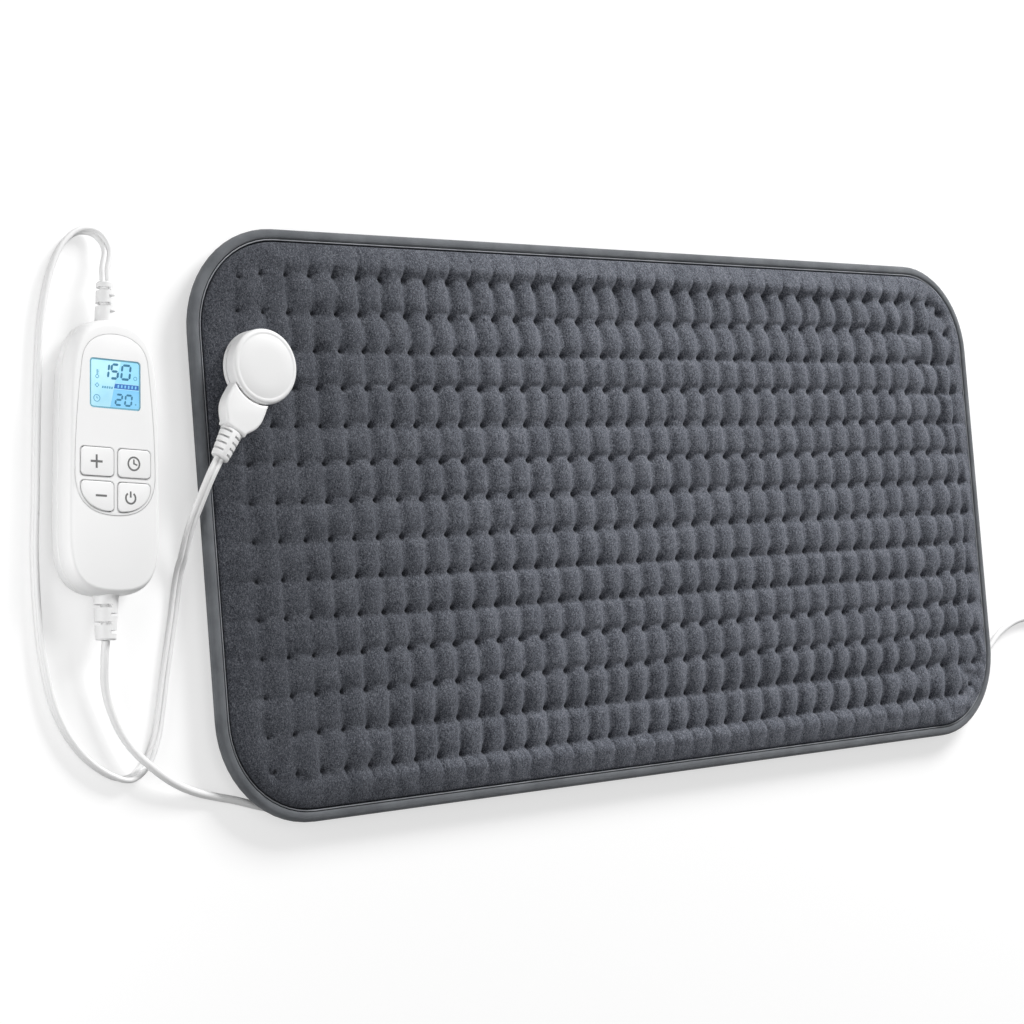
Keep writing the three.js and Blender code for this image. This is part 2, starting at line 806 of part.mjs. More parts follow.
// Oval strain relief with slots from alternate sides
function plugRelief() {
  const oval = (reach, width, height) => Array.from({ length: roundSteps }, (_, i) => {
    const angle = (i / roundSteps) * 2 * Math.PI;
    const y = Math.cos(angle) * width / 2;
    const z = plugAxisHeight + Math.sin(angle) * height / 2;
    return new THREE.Vector3(reach, y, z);
  });
  const body = skin([
    oval(plugReliefStart, plugReliefRootWidth, plugReliefRootHeight),
    oval(plugReliefEnd, plugReliefTipWidth, plugReliefTipHeight),
  ]);
  const pitch = plugReliefLength / (plugReliefSlots + 0.5);
  const slots = [];
  for (let slot = 0; slot < plugReliefSlots; slot += 1) {
    [-1, 1].forEach((side) => {
      const reach = plugReliefStart + pitch * (slot + 0.6 + side * 0.12);
      const inner = side * plugReliefTipWidth * 0.14;
      const outer = side * plugReliefRootWidth;
      slots.push(block(span(reach, plugReliefSlotWidth), [Math.min(inner, outer), Math.max(inner, outer)],
        [plugAxisHeight + plugReliefTipHeight * 0.18, through]));
    });
  }
  return carve(body, slots);
}

addPart(connector, 'plug_grip', plugGrip(), whitePlastic);
addPart(connector, 'plug_insert', plugInsert(), whitePlastic);
[-1, 1].forEach((side, i) => addPart(connector, `contact_sleeve_${i + 1}`, contactSleeve(side), brass));
addPart(connector, 'plug_strain_relief', plugRelief(), whiteRubber);

// Controller, in a frame whose Y runs up to the pad lead
const controller = new THREE.Group();
controller.position.set(controllerX, controllerY, 0);
controller.rotation.z = controllerTurn;
heatingPad.add(controller);

// A pear-shaped outline from its lowest point round to the right, mirrored on the left
function pearShape({ bottom, belly, bellyAt, neck, neckAt, top, foot, footRise, crownDrop, crown }) {
  const shape = new THREE.Shape();
  shape.moveTo(0, bottom);
  shape.bezierCurveTo(foot, bottom, belly, bottom + footRise, belly, bellyAt);
  const third = (neckAt - bellyAt) / 3;
  shape.bezierCurveTo(belly, bellyAt + third, neck + (belly - neck) * 0.6, neckAt - third, neck, neckAt);
  shape.bezierCurveTo(neck - 0.6, top - crownDrop, crown, top, 0, top);
  shape.bezierCurveTo(-crown, top, -neck + 0.6, top - crownDrop, -neck, neckAt);
  shape.bezierCurveTo(-neck - (belly - neck) * 0.6, neckAt - third, -belly, bellyAt + third, -belly, bellyAt);
  shape.bezierCurveTo(-belly, bottom + footRise, -foot, bottom, 0, bottom);
  return shape;
}

function caseShape(inset) {
  return pearShape({
    bottom: -controllerLength / 2 + inset,
    belly: controllerWidth / 2 - inset,
    bellyAt: bellyY,
    neck: shoulderWidth / 2 - inset,
    neckAt: shoulderY,
    top: controllerLength / 2 - inset,
    foot: controllerWidth * 0.35,
    footRise: 6,
    crownDrop: 10,
    crown: shoulderWidth * 0.33,
  });
}

function caseRing(inset, height) {
  const points = caseShape(inset).getPoints(outlineSteps).slice(0, -1);
  return points.map(({ x, y }) => new THREE.Vector3(x, y, height));
}

function panelShape(inset) {
  return pearShape({
    bottom: panelBottom + inset,
    belly: panelWidth / 2 - inset,
    bellyAt: panelBellyY,
    neck: panelNeckWidth / 2 - inset,
    neckAt: panelNeckY,
    top: panelTop - inset,
    foot: panelWidth * 0.31,
    footRise: 5.6,
    crownDrop: 4.4,
    crown: panelNeckWidth * 0.26,
  });
}

// Quarter-round edge of the case, as rings from its side to its flat
function roundedEdge(edge, edgeHeight, flatHeight, up) {
  return Array.from({ length: edgeSteps + 1 }, (_, step) => {
    const angle = (step / edgeSteps) * Math.PI / 2;
    const inset = edge * (1 - Math.cos(angle));
    return caseRing(inset, flatHeight - up * edgeHeight * (1 - Math.sin(angle)));
  });
}

const screwPlaces = [
  [screwUpperX, screwUpperY],
  [-screwUpperX, screwUpperY],
  [screwLowerX, screwLowerY],
  [-screwLowerX, screwLowerY],
];

// Ways through the case's ends for the necks of the strain reliefs
function reliefWays() {
  const end = controllerLength / 2;
  const way = (radius, from, to) => (
    rod(radius, from, to, 0, partingHeight, roundSteps).rotateZ(Math.PI / 2)
  );
  const pocket = reliefFlange + 2 * seatGap;
  return [
    way(leadReliefRootRadius + seatGap, end - caseWall - 6, end + 10),
    way(leadReliefRootRadius + reliefFlangeProud + seatGap, end - caseWall - pocket, end - caseWall),
    way(mainsReliefRootRadius + seatGap, -end - 10, -end + caseWall + 6),
    way(mainsReliefRootRadius + reliefFlangeProud + seatGap, -end + caseWall, -end + caseWall + pocket),
  ];
}

function lowerShell() {
  const top = partingHeight - seatGap / 2;
  const outside = skin([
    ...roundedEdge(lowerEdge, lowerEdgeHeight, 0, -1).reverse(),
    caseRing(0, top),
  ]);
  const hollow = skin([
    caseRing(lowerEdge, caseWall),
    caseRing(caseWall, lowerEdgeHeight),
    caseRing(caseWall, top + 1),
  ]);
  const boardPosts = [-1, 1].flatMap((side) => [boardPostTopY, boardPostBottomY].map((y) => (
    post(boardPostRadius, caseWall / 2, boardHeight - seatGap, side * boardPostX, y, smallSteps)
  )));
  const pillars = screwPlaces.map(([x, y]) => post(pillarRadius, caseWall / 2, top, x, y, smallSteps));
  const inside = toGeometry(toSolid(fuse(pillars)).intersect(toSolid(outside)));
  const shell = fuse([carve(outside, [hollow]), ...boardPosts, inside]);
  const sinks = screwPlaces.flatMap(([x, y]) => [
    post(screwHeadRadius + seatGap, -1, screwSink + screwHeadHeight + seatGap, x, y, smallSteps),
    post(screwShankRadius + seatGap, -1, through, x, y, smallSteps),
  ]);
  return carve(shell, [...sinks, ...reliefWays()]);
}

function upperShell() {
  const bottom = partingHeight + seatGap / 2;
  const outside = skin([
    caseRing(0, bottom),
    ...roundedEdge(upperEdge, upperEdgeHeight, faceHeight, 1),
  ]);
  const hollow = skin([
    caseRing(caseWall, bottom - 1),
    caseRing(caseWall, faceHeight - upperEdgeHeight),
    caseRing(upperEdge, ceilingHeight),
  ]);
  const bosses = screwPlaces.map(([x, y]) => post(bossRadius, bottom, ceilingHeight + 1, x, y, smallSteps));
  const inside = toGeometry(toSolid(fuse(bosses)).intersect(toSolid(outside)));
  const shell = fuse([carve(outside, [hollow]), inside]);
  const recess = slab(panelShape(-seatGap), ledgeHeight, through, outlineSteps);
  const opening = slab(panelShape(panelLedge), ceilingHeight - seatGap, through, outlineSteps);
  const screwHoles = screwPlaces.map(([x, y]) => (
    post(screwShankRadius + seatGap, 0, screwReach + seatGap, x, y, smallSteps)
  ));
  return carve(shell, [recess, opening, ...screwHoles, ...reliefWays()]);
}

addPart(controller, 'controller_lower_shell', lowerShell(), whitePlastic);
addPart(controller, 'controller_upper_shell', upperShell(), whitePlastic);

// Buttons: the upper pair is square, the lower pair is swept along the panel's foot
const buttons = [
  { name: 'plus', side: -1, upper: true },
  { name: 'timer', side: 1, upper: true },
  { name: 'minus', side: -1, upper: false },
  { name: 'power', side: 1, upper: false },
];

function buttonPlace({ side, upper }) {
  return { x: side * buttonSpacingX / 2, y: upper ? upperButtonY : lowerButtonY };
}

function buttonShape(button, inset) {
  const { x, y } = buttonPlace(button);
  const width = buttonWidth - 2 * inset;
  if (button.upper) {
    return roundedRect(width, upperButtonHeight - 2 * inset, buttonRound - Math.min(inset, 0), x, y);
  }
  const [inner, outer] = span(Math.abs(x), width);
  const [bottom, top] = span(y, lowerButtonHeight - 2 * inset);
  const point = (along, height) => [button.side * along, height];
  const shape = new THREE.Shape();
  shape.moveTo(...point(inner + buttonRound, top));
  shape.lineTo(...point(outer - buttonRound, top));
  shape.quadraticCurveTo(...point(outer, top), ...point(outer, top - buttonRound));
  shape.bezierCurveTo(...point(outer, top - buttonSweep * 0.75), ...point(outer - buttonSweep * 0.55, bottom),
    ...point(inner + buttonRound, bottom));
  shape.quadraticCurveTo(...point(inner, bottom), ...point(inner, bottom + buttonRound));
  shape.lineTo(...point(inner, top - buttonRound));
  shape.quadraticCurveTo(...point(inner, top), ...point(inner + buttonRound, top));
  return shape;
}

function facePanel() {
  const sheet = slab(panelShape(0), panelUnderside, panelUnderside + panelThickness, outlineSteps);
  const display = roundedRect(displayWidth, displayHeight, displayRound, 0, displayY);
  const openings = [display, ...buttons.map((button) => buttonShape(button, 0))];
  return carve(sheet, openings.map((opening) => slab(opening, 0, through)));
}

function buttonCap(button) {
  const { x, y } = buttonPlace(button);
  const top = panelUnderside + panelThickness + buttonProud;
  const key = pillow(buttonShape(button, runGap), flangeBottom - buttonBevel, top, buttonBevel);
  const flange = slab(buttonShape(button, runGap - buttonFlange), flangeBottom, flangeTop);
  const stem = post(stemRadius, plungerTop + seatGap, flangeBottom + buttonFlangeThickness / 2, x, y, smallSteps);
  return fuse([key, flange, stem]);
}

addPart(controller, 'face_panel', facePanel(), whitePlastic);
const windowTop = panelUnderside + windowThickness;
const windowShape = roundedRect(displayWidth - 2 * seatGap, displayHeight - 2 * seatGap, displayRound, 0, displayY);
addPart(controller, 'display_window', slab(windowShape, panelUnderside, windowTop), clearWindow);
const moduleSpanX = span(0, displayWidth + 2 * moduleBorder);
const moduleSpanY = span(displayY, displayHeight + 2 * moduleBorder);
addPart(controller, 'display_module', block(moduleSpanX, moduleSpanY, [moduleBottom, moduleTop]), displayGlass);
const holderTop = moduleBottom - seatGap;
const holderHollow = block(
  span(0, displayWidth + 2 * moduleBorder - 2 * holderWall),
  span(displayY, displayHeight + 2 * moduleBorder - 2 * holderWall),
  [0, holderTop - holderWall],
);
const holder = carve(block(moduleSpanX, moduleSpanY, [boardFace, holderTop]), [holderHollow]);
addPart(controller, 'display_holder', holder, whitePlastic);

const boardSpan = boardTop - boardBottom;
const boardShape = roundedRect(boardWidth, boardSpan, boardRound, 0, (boardTop + boardBottom) / 2);
addPart(controller, 'circuit_board', slab(boardShape, boardHeight, boardHeight + boardThickness), boardGreen);

buttons.forEach((button) => {
  const { x, y } = buttonPlace(button);
  addPart(controller, `${button.name}_button`, buttonCap(button), whitePlastic);
  const plungerBottom = plungerTop - plungerHeight;
  const well = post(plungerRadius + seatGap, plungerBottom - buttonTravel - seatGap, through, x, y, smallSteps);
  const body = block(span(x, switchSize), span(y, switchSize), [boardFace, switchTop]);
  addPart(controller, `${button.name}_switch`, carve(body, [well]), blackPlastic);
  const plunger = post(plungerRadius, plungerBottom, plungerTop, x, y, smallSteps);
  addPart(controller, `${button.name}_plunger`, plunger, whitePlastic);
});

// Parts on the board: size, place and height above the board's face
const microcontroller = block(span(0, 9), span(12, 9), [boardFace, boardFace + 1.6]);
addPart(controller, 'microcontroller', microcontroller, blackPlastic);
const capacitor = block(span(-6.4, 12), span(-37.5, 6), [boardFace, boardFace + 6.4]);
addPart(controller, 'capacitor', capacitor, amberFilm);
const triac = block(span(6.6, 10), span(-37.5, 4.6), [boardFace, boardFace + 7]);
addPart(controller, 'triac', triac, blackPlastic);
const fuseRadius = 2;
addPart(controller, 'fuse', rod(fuseRadius, -8, 8, -28.6, boardFace + fuseRadius), clearWindow);

screwPlaces.forEach(([x, y], i) => {
  const neck = screwSink + screwHeadHeight;
  const screw = revolve([
    [0, screwSink],
    [screwHeadRadius, screwSink],
    [screwHeadRadius, neck - 0.6],
    [screwShankRadius, neck],
    [screwShankRadius, screwReach],
    [0, screwReach],
  ], smallSteps).translate(x, y, 0);
  addPart(controller, `case_screw_${i + 1}`, screw, steel);
});

// Tapered strain relief with a flange inside the case and slots from alternate sides
function caseRelief(length, rootRadius, tipRadius, slotCount, direction) {
  const end = controllerLength / 2;
  const inside = end - caseWall - seatGap;
  const flangeRadius = rootRadius + reliefFlangeProud;
  const body = revolve([
    [0, inside - reliefFlange],
    [flangeRadius, inside - reliefFlange],
    [flangeRadius, inside],
    [rootRadius, inside],
    [rootRadius, end],
    [tipRadius, end + length],
    [0, end + length],
  ]).rotateX(-Math.PI / 2).translate(0, 0, partingHeight);
  const pitch = length / (slotCount + 1);
  const slots = Array.from({ length: slotCount }, (_, slot) => {
    const side = slot % 2 === 0 ? -1 : 1;
    const reach = end + pitch * (slot + 1.1);
    const across = [Math.min(side * 1.4, side * through), Math.max(side * 1.4, side * through)];
    return block(across, span(reach, reliefSlotWidth), [0, through]);
  });
  const relief = carve(body, slots);
  return direction > 0 ? relief : relief.rotateZ(Math.PI);
}

const leadRelief = caseRelief(leadReliefLength, leadReliefRootRadius, leadReliefTipRadius, leadReliefSlots, 1);
addPart(controller, 'lead_strain_relief', leadRelief, whiteRubber);
const mainsRelief = caseRelief(mainsReliefLength, mainsReliefRootRadius, mainsReliefTipRadius, mainsReliefSlots, -1);
addPart(controller, 'mains_strain_relief', mainsRelief, whiteRubber);

// Cords

// A place in a turned group, in the pad's frame
function placed(group, x, y, z) {
  group.updateMatrixWorld(true);
  return new THREE.Vector3(x, y, z).applyMatrix4(group.matrixWorld);
}

const point = (x, y, z) => new THREE.Vector3(x, y, z);

// From the plug over the pad's edge, round below the controller, up its far side and over to its top
const leadReliefEnd = controllerLength / 2 + leadReliefLength + seatGap;
const padLeadRoute = [
  placed(connector, plugReliefEnd + seatGap, 0, plugAxisHeight),
  placed(connector, plugReliefEnd + seatGap + 8, 0, plugAxisHeight - 0.4),
  point(-304.6, 13.5, 16.4),
  point(-308.4, -1, 10.2),
  point(-311.4, -17.4, 5.4),
  point(-315.3, -38.5, 2.8),
  point(-319.3, -55, 2.2),
  point(-323.3, -71, 2.1),
  point(-327.2, -88, 2.1),
  point(-331, -101, 2.1),
  point(-338.2, -113, 2.1),
  point(-347, -118.4, 2.3),
  point(-356.5, -116.6, 2.7),
  point(-371.6, -105.7, 2.7),
  point(-383.6, -87, 2.7),
  point(-390, -56.9, 2.7),
  point(-390.4, -12, 2.7),
  point(-387.8, 16, 2.7),
  point(-385.2, 44, 2.7),
  point(-382.4, 72, 2.7),
  point(-378, 103, 2.7),
  point(-371.6, 125, 2.7),
  point(-363.6, 138.6, 2.8),
  point(-354, 145, 3.4),
  point(-345.4, 143.6, 4.8),
  point(-342, 135.6, 6.8),
  placed(controller, 0, leadReliefEnd + 6, partingHeight - 0.5),
  placed(controller, 0, leadReliefEnd, partingHeight),
];

// From the controller over the pad lead, under the pad's near edge and out to the coil at the far end
const mainsReliefEnd = controllerLength / 2 + mainsReliefLength + seatGap;
const restHeight = mainsDiameter / 2 + 0.05;
const coilStart = point(coilX, coilY + coilOuterRadius, coilLowHeight);
const coilRunIn = mainsDiameter;
const mainsRoute = [
  placed(controller, 0, -mainsReliefEnd, partingHeight),
  placed(controller, 0, -mainsReliefEnd - 9, partingHeight - 1),
  point(-359.3, -75, 5.9),
  point(-355.8, -88, 5.2),
  point(-350.3, -99.5, 5.5),
  point(-344, -107.8, 6.3),
  point(-338.3, -113.2, 6.7),
  point(-332, -118.2, 6.3),
  point(-323.5, -123.4, 5),
  point(-313, -128, 3.4),
  point(-301, -131.6, 2.3),
  point(-288.5, -134.8, restHeight),
  point(-274, -139.3, restHeight),
  point(-258, -143.2, restHeight),
  point(-240, -145.2, restHeight),
  point(-215, -145.5, restHeight),
  point(-120, -145.5, restHeight),
  point(0, -145.5, restHeight),
  point(120, -145.5, restHeight),
  point(215, -145.5, restHeight),
  point(240, -145.1, restHeight),
  point(256, -144.4, restHeight),
  point(270.7, -138.9, restHeight),
  point(281, -131, restHeight),
  point(290, -120, restHeight),
  point(299, -108, restHeight),
  point(311, -95.5, restHeight),
  point(328, -85.5, restHeight + 0.2),
  point(350, -80.8, restHeight + 0.6),
  coilStart.clone().add(point(-coilRunIn - seatGap - 8, 0, 0)),
  coilStart.clone().add(point(-coilRunIn - seatGap, 0, 0)),
];

// Turns spiral in on the table, climb a layer where they reverse, and spiral out on top
function coilPoint(turn) {
  const half = coilTurns / 2;
  const radius = coilInnerRadius + coilPitch * Math.abs(turn - half);
  const angle = coilStartAngle - turn * 2 * Math.PI;
  const rise = THREE.MathUtils.smoothstep(turn, half - 0.25, half + 0.25);
  return point(
    coilX + radius * Math.cos(angle),
    coilY + radius * Math.sin(angle),
    coilLowHeight + coilLayerRise * rise,
  );
}

function coilPath() {
  const count = Math.round(coilTurns * coilStepsPerTurn);
  const turns = Array.from({ length: count + 1 }, (_, i) => coilPoint(coilTurns * i / count));
  const runIn = turns[0].clone().add(point(-coilRunIn, 0, 0));
  const tail = turns[count].clone().add(point(0, -coilTail, 0));
  return [runIn, ...turns, tail];
}

// Least gap between turns, measured on close points of the spiral at least half a turn apart
function coilGap() {
  const perTurn = 90;
  const samples = Array.from({ length: Math.round(coilTurns * perTurn) + 1 }, (_, i) => coilPoint(i / perTurn));
  let least = Infinity;
  samples.forEach((a, i) => {
    for (let j = i + perTurn / 2; j < samples.length; j += 1) {
      least = Math.min(least, a.distanceTo(samples[j]));
    }
  });
  return least - mainsDiameter;
}
console.log(`least gap between the coil's turns: ${coilGap().toFixed(2)} mm`);

// Strap round the bundle of turns
function cordTie() {
  const inner = coilInnerRadius - mainsDiameter / 2 - tieSlack;
  const outer = coilOuterRadius + mainsDiameter / 2 + tieSlack;
  const height = coilLayerRise + mainsDiameter + 2 * seatGap;
  const middle = (inner + outer) / 2;
  const level = tieThickness + height / 2;
  const outline = roundedRect(outer - inner + 2 * tieThickness, height + 2 * tieThickness, 2.2, middle, level);
  outline.holes.push(roundedRect(outer - inner, height, 1.4, middle, level));
  const strap = new THREE.ExtrudeGeometry(outline, { depth: tieWidth, bevelEnabled: false, curveSegments: 3 });
  strap.translate(0, 0, -tieWidth / 2).rotateX(Math.PI / 2).rotateZ(tieAngle);
  return strap.translate(coilX, coilY, 0);
}

addPart(heatingPad, 'pad_lead', cordTube(padLeadRoute, padLeadDiameter, padLeadSteps), whiteRubber);
addPart(heatingPad, 'mains_lead', cordTube(mainsRoute, mainsDiameter, mainsSteps), whiteRubber);
addPart(heatingPad, 'mains_coil', sweep(coilPath(), mainsDiameter / 2, coilSides), whiteRubber);
addPart(heatingPad, 'cord_tie', cordTie(), blackPlastic);

// Mains plug, in a frame whose X runs from the cord to the blades
const plugHeight = coilLowHeight + coilLayerRise;
const mainsPlug = new THREE.Group();
const coilEnd = coilPath().at(-1);
mainsPlug.position.set(coilEnd.x, coilEnd.y - seatGap, plugHeight);
mainsPlug.rotation.z = -Math.PI / 2;
heatingPad.add(mainsPlug);

function mainsPlugBody() {
  const front = mainsPlugNeck + mainsPlugLength;
  const section = (reach, width, height, radius) => {
    const ring = outlineOf(roundedRect(width, height, radius), 3);
    return ring.map(({ x, y }) => new THREE.Vector3(reach, x, y));
  };
  const neck = 2 * mainsPlugNeckRadius;
  const thickness = 2 * plugHeight;
  const grow = mainsPlugRound - 0.5;
  const body = skin([
    section(0, neck, neck, mainsPlugNeckRadius - 0.2),
    section(mainsPlugNeck * 0.7, neck + 3, neck + 3, mainsPlugNeckRadius + 0.6),
    section(mainsPlugNeck, mainsPlugWidth * 0.8, thickness * 0.85, mainsPlugRound),
    section(mainsPlugNeck + 5, mainsPlugWidth, thickness, mainsPlugRound),
    section(front - 1, mainsPlugWidth, thickness, mainsPlugRound),
    section(front, mainsPlugWidth - 2, thickness - 2, grow),
  ]);
  const pockets = [-1, 1].map((side) => block(
    [front - bladeRoot - seatGap, front + 1],
    span(side * bladeSpacing / 2, bladeThickness + 2 * seatGap),
    span(0, bladeWidth + 2 * seatGap),
  ));
  return carve(body, pockets);
}

function plugBlade(side) {
  const front = mainsPlugNeck + mainsPlugLength;
  const shape = new THREE.Shape();
  const half = bladeWidth / 2;
  const tip = front + bladeLength;
  shape.moveTo(front - bladeRoot, -half);
  shape.lineTo(tip - 2, -half);
  shape.quadraticCurveTo(tip, -half, tip, -half + 2);
  shape.lineTo(tip, half - 2);
  shape.quadraticCurveTo(tip, half, tip - 2, half);
  shape.lineTo(front - bladeRoot, half);
  const hole = new THREE.Path();
  hole.absarc(tip - 4.5, 0, 1.5, 0, 2 * Math.PI, true);
  shape.holes.push(hole);
  const blade = new THREE.ExtrudeGeometry(shape, { depth: bladeThickness, bevelEnabled: false, curveSegments: 6 });
  return blade.translate(0, 0, -bladeThickness / 2).rotateX(Math.PI / 2).translate(0, side * bladeSpacing / 2, 0);
}

addPart(mainsPlug, 'mains_plug', mainsPlugBody(), whitePlastic);
[-1, 1].forEach((side, i) => addPart(mainsPlug, `plug_blade_${i + 1}`, plugBlade(side), steel));

export default heatingPad;
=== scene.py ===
"""Heating pad with a plug-in controller on a lead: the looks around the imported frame."""
import json
from collections import namedtuple
from math import acos, asin, copysign, cos, exp, hypot, pi, radians, sin
from types import SimpleNamespace

import bpy
import numpy as np
from mathutils import Matrix, Vector


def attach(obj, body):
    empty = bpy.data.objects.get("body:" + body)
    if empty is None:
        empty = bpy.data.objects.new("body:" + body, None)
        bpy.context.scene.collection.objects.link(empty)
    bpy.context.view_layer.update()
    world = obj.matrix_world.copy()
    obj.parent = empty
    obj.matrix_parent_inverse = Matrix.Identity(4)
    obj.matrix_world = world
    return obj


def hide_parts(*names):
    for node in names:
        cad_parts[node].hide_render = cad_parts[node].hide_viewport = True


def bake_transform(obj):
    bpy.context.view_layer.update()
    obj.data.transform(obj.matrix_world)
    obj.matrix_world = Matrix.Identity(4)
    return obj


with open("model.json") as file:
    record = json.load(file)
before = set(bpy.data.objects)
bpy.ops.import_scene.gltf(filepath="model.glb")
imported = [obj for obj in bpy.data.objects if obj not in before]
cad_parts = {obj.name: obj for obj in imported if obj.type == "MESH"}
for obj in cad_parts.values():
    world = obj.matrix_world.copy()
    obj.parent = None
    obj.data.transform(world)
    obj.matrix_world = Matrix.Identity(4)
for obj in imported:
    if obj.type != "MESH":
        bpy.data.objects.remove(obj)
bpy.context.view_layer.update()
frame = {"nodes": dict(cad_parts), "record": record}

MM = 0.001
ROOT = "pad_set"
PLUG_BODY = "lead_plug"
scene = bpy.context.scene

# Places and sizes shared with the CAD source, in millimetres
PAD_LENGTH, PAD_WIDTH, PAD_CORNER = 600.0, 300.0, 54.0
DISC = Vector((-266.7, 77.5, 0))
CONNECTOR = Matrix.Translation(DISC) @ Matrix.Rotation(radians(-122.6), 4, "Z")
CONTROLLER = Matrix.Translation((-352.3, 34.4, 0)) @ Matrix.Rotation(radians(-4.5), 4, "Z")
SEAT_GAP = 0.3
CASE_HALF = 66.0
PARTING = 9.0
LEAD_RELIEF, MAINS_RELIEF = 19.0, 20.5
LEAD_RELIEF_END = CASE_HALF + LEAD_RELIEF + SEAT_GAP
MAINS_RELIEF_END = CASE_HALF + MAINS_RELIEF + SEAT_GAP
PLUG_AXIS = 20.7
GRIP_END, PLUG_RELIEF_END = 37.5, 53.2


def link_piece(name, data):
    piece = bpy.data.objects.new(name, data)
    scene.collection.objects.link(piece)
    return piece


# Camera at the photograph's angle to the pad, in metres
CAMERA_PLACE = Vector((-0.9574, -0.0620, 1.0007))
CAMERA_RIGHT = Vector((0.7566, -0.0783, 0.6492)).normalized()
CAMERA_AHEAD = Vector((0.6533, 0.0486, -0.7555))
LENS, SENSOR_WIDTH, CLIP_START = 84.87, 36.0, 0.01


def add_camera():
    data = bpy.data.cameras.new("camera")
    data.lens = LENS
    data.sensor_width = SENSOR_WIDTH
    data.clip_start = CLIP_START
    camera = link_piece("camera", data)
    ahead = (CAMERA_AHEAD - CAMERA_RIGHT * CAMERA_AHEAD.dot(CAMERA_RIGHT)).normalized()
    up = CAMERA_RIGHT.cross(ahead)
    turn = Matrix((CAMERA_RIGHT, up, -ahead)).transposed().to_4x4()
    camera.matrix_world = Matrix.Translation(CAMERA_PLACE) @ turn
    scene.camera = camera


add_camera()


# Materials: a node tree for each, with its detail in object coordinates
def linear(code):
    """The scene's colour for a colour code of six figures."""
    parts = [int(code[i:i + 2], 16) / 255 for i in (0, 2, 4)]
    return (*(c / 12.92 if c <= 0.04045 else ((c + 0.055) / 1.055) ** 2.4 for c in parts), 1.0)


class Shading:
    """A node tree, with short ways to make and join its nodes."""

    def __init__(self, owner):
        owner.use_nodes = True
        self.tree = owner.node_tree

    def put(self, socket, value):
        if isinstance(value, bpy.types.NodeSocket):
            self.tree.links.new(value, socket)
        else:
            socket.default_value = value

    def fill(self, node, **values):
        """Sets a node's inputs or links them to other nodes' outputs, and sets its options."""
        for key, value in values.items():
            socket = key.replace("_", " ")
            if socket in node.inputs:
                self.put(node.inputs[socket], value)
            else:
                setattr(node, key, value)
        return node

    def node(self, kind, **values):
        return self.fill(self.tree.nodes.new(kind), **values)

    def calculate(self, operation, *values):
        made = self.node("ShaderNodeMath", operation=operation)
        for socket, value in zip(made.inputs, values):
            self.put(socket, value)
        return made.outputs[0]

    def span(self, source, reach=(0.0, 1.0), results=(0.0, 1.0)):
        """Carries one range of values over to another, and stops at its ends."""
        made = self.node("ShaderNodeMapRange", Value=source)
        for name, value in zip(("From Min", "From Max", "To Min", "To Max"), (*reach, *results)):
            made.inputs[name].default_value = value
        return made.outputs["Result"]

    def seen_directly(self):
        """1 for rays from the camera and for those by way of metal or glass, 0 for the others."""
        rays = self.node("ShaderNodeLightPath").outputs
        bounced = self.calculate("MAXIMUM", rays["Is Glossy Ray"], rays["Is Transmission Ray"])
        return self.calculate("MAXIMUM", rays["Is Camera Ray"], bounced)


class Surface(Shading):
    """A Principled material."""

    def __init__(self, name, **values):
        self.material = bpy.data.materials.new(name)
        super().__init__(self.material)
        self.shader = self.fill(self.tree.nodes["Principled BSDF"], **values)
        self.place = self.node("ShaderNodeTexCoord").outputs["Object"]

    def paint(self, **values):
        self.fill(self.shader, **values)
        return self.material

    def noise(self, scale, detail=3.0, rough=0.55, stretch=None, warp=0.0):
        place = self.place
        if stretch:
            place = self.node("ShaderNodeMapping", Vector=place, Scale=stretch).outputs["Vector"]
        made = self.node("ShaderNodeTexNoise", Vector=place, Scale=scale, Detail=detail)
        return self.fill(made, Roughness=rough, Distortion=warp).outputs["Fac"]

    def ramp(self, factor, *stops):
        made = self.node("ShaderNodeValToRGB", Fac=factor)
        points = made.color_ramp.elements
        while len(points) < len(stops):
            points.new(0.5)
        for point, (place, code) in zip(points, stops):
            point.position = place
            point.color = linear(code)
        return made.outputs["Color"]

    def mix(self, blend, factor, first, second):
        made = self.node("ShaderNodeMix", data_type="RGBA", blend_type=blend)
        for socket, value in zip((0, 6, 7), (factor, first, second)):
            self.put(made.inputs[socket], value)
        return made.outputs[2]

    def add(self, first, second, share=1.0):
        return self.calculate("MULTIPLY_ADD", second, share, first)

    def bump(self, height, strength, distance):
        made = self.node("ShaderNodeBump", Height=height, Strength=strength, Distance=distance)
        return made.outputs["Normal"]


FIBRE_SCALE, STREAK_SCALE, CLOUD_SCALE = 1400.0, 760.0, 60.0
STREAK_STRETCH, PILE_RANGE = (1.8, 0.8, 1.0), (0.78, 1.32)
# Painted shade: the pile darkens towards the connector's end, from X = -0.10 m to -0.27 m, down to this share
# of its colour
LEFT_SHADE_RANGE, LEFT_SHADE_LEVEL = (-0.27, -0.10), 0.54
# Sheen tint, and the colour of the painted shade in the tuft dimples
SHEEN_TINT, PIT_SHADE_COLOUR = "b4b8c2", "0d0e11"


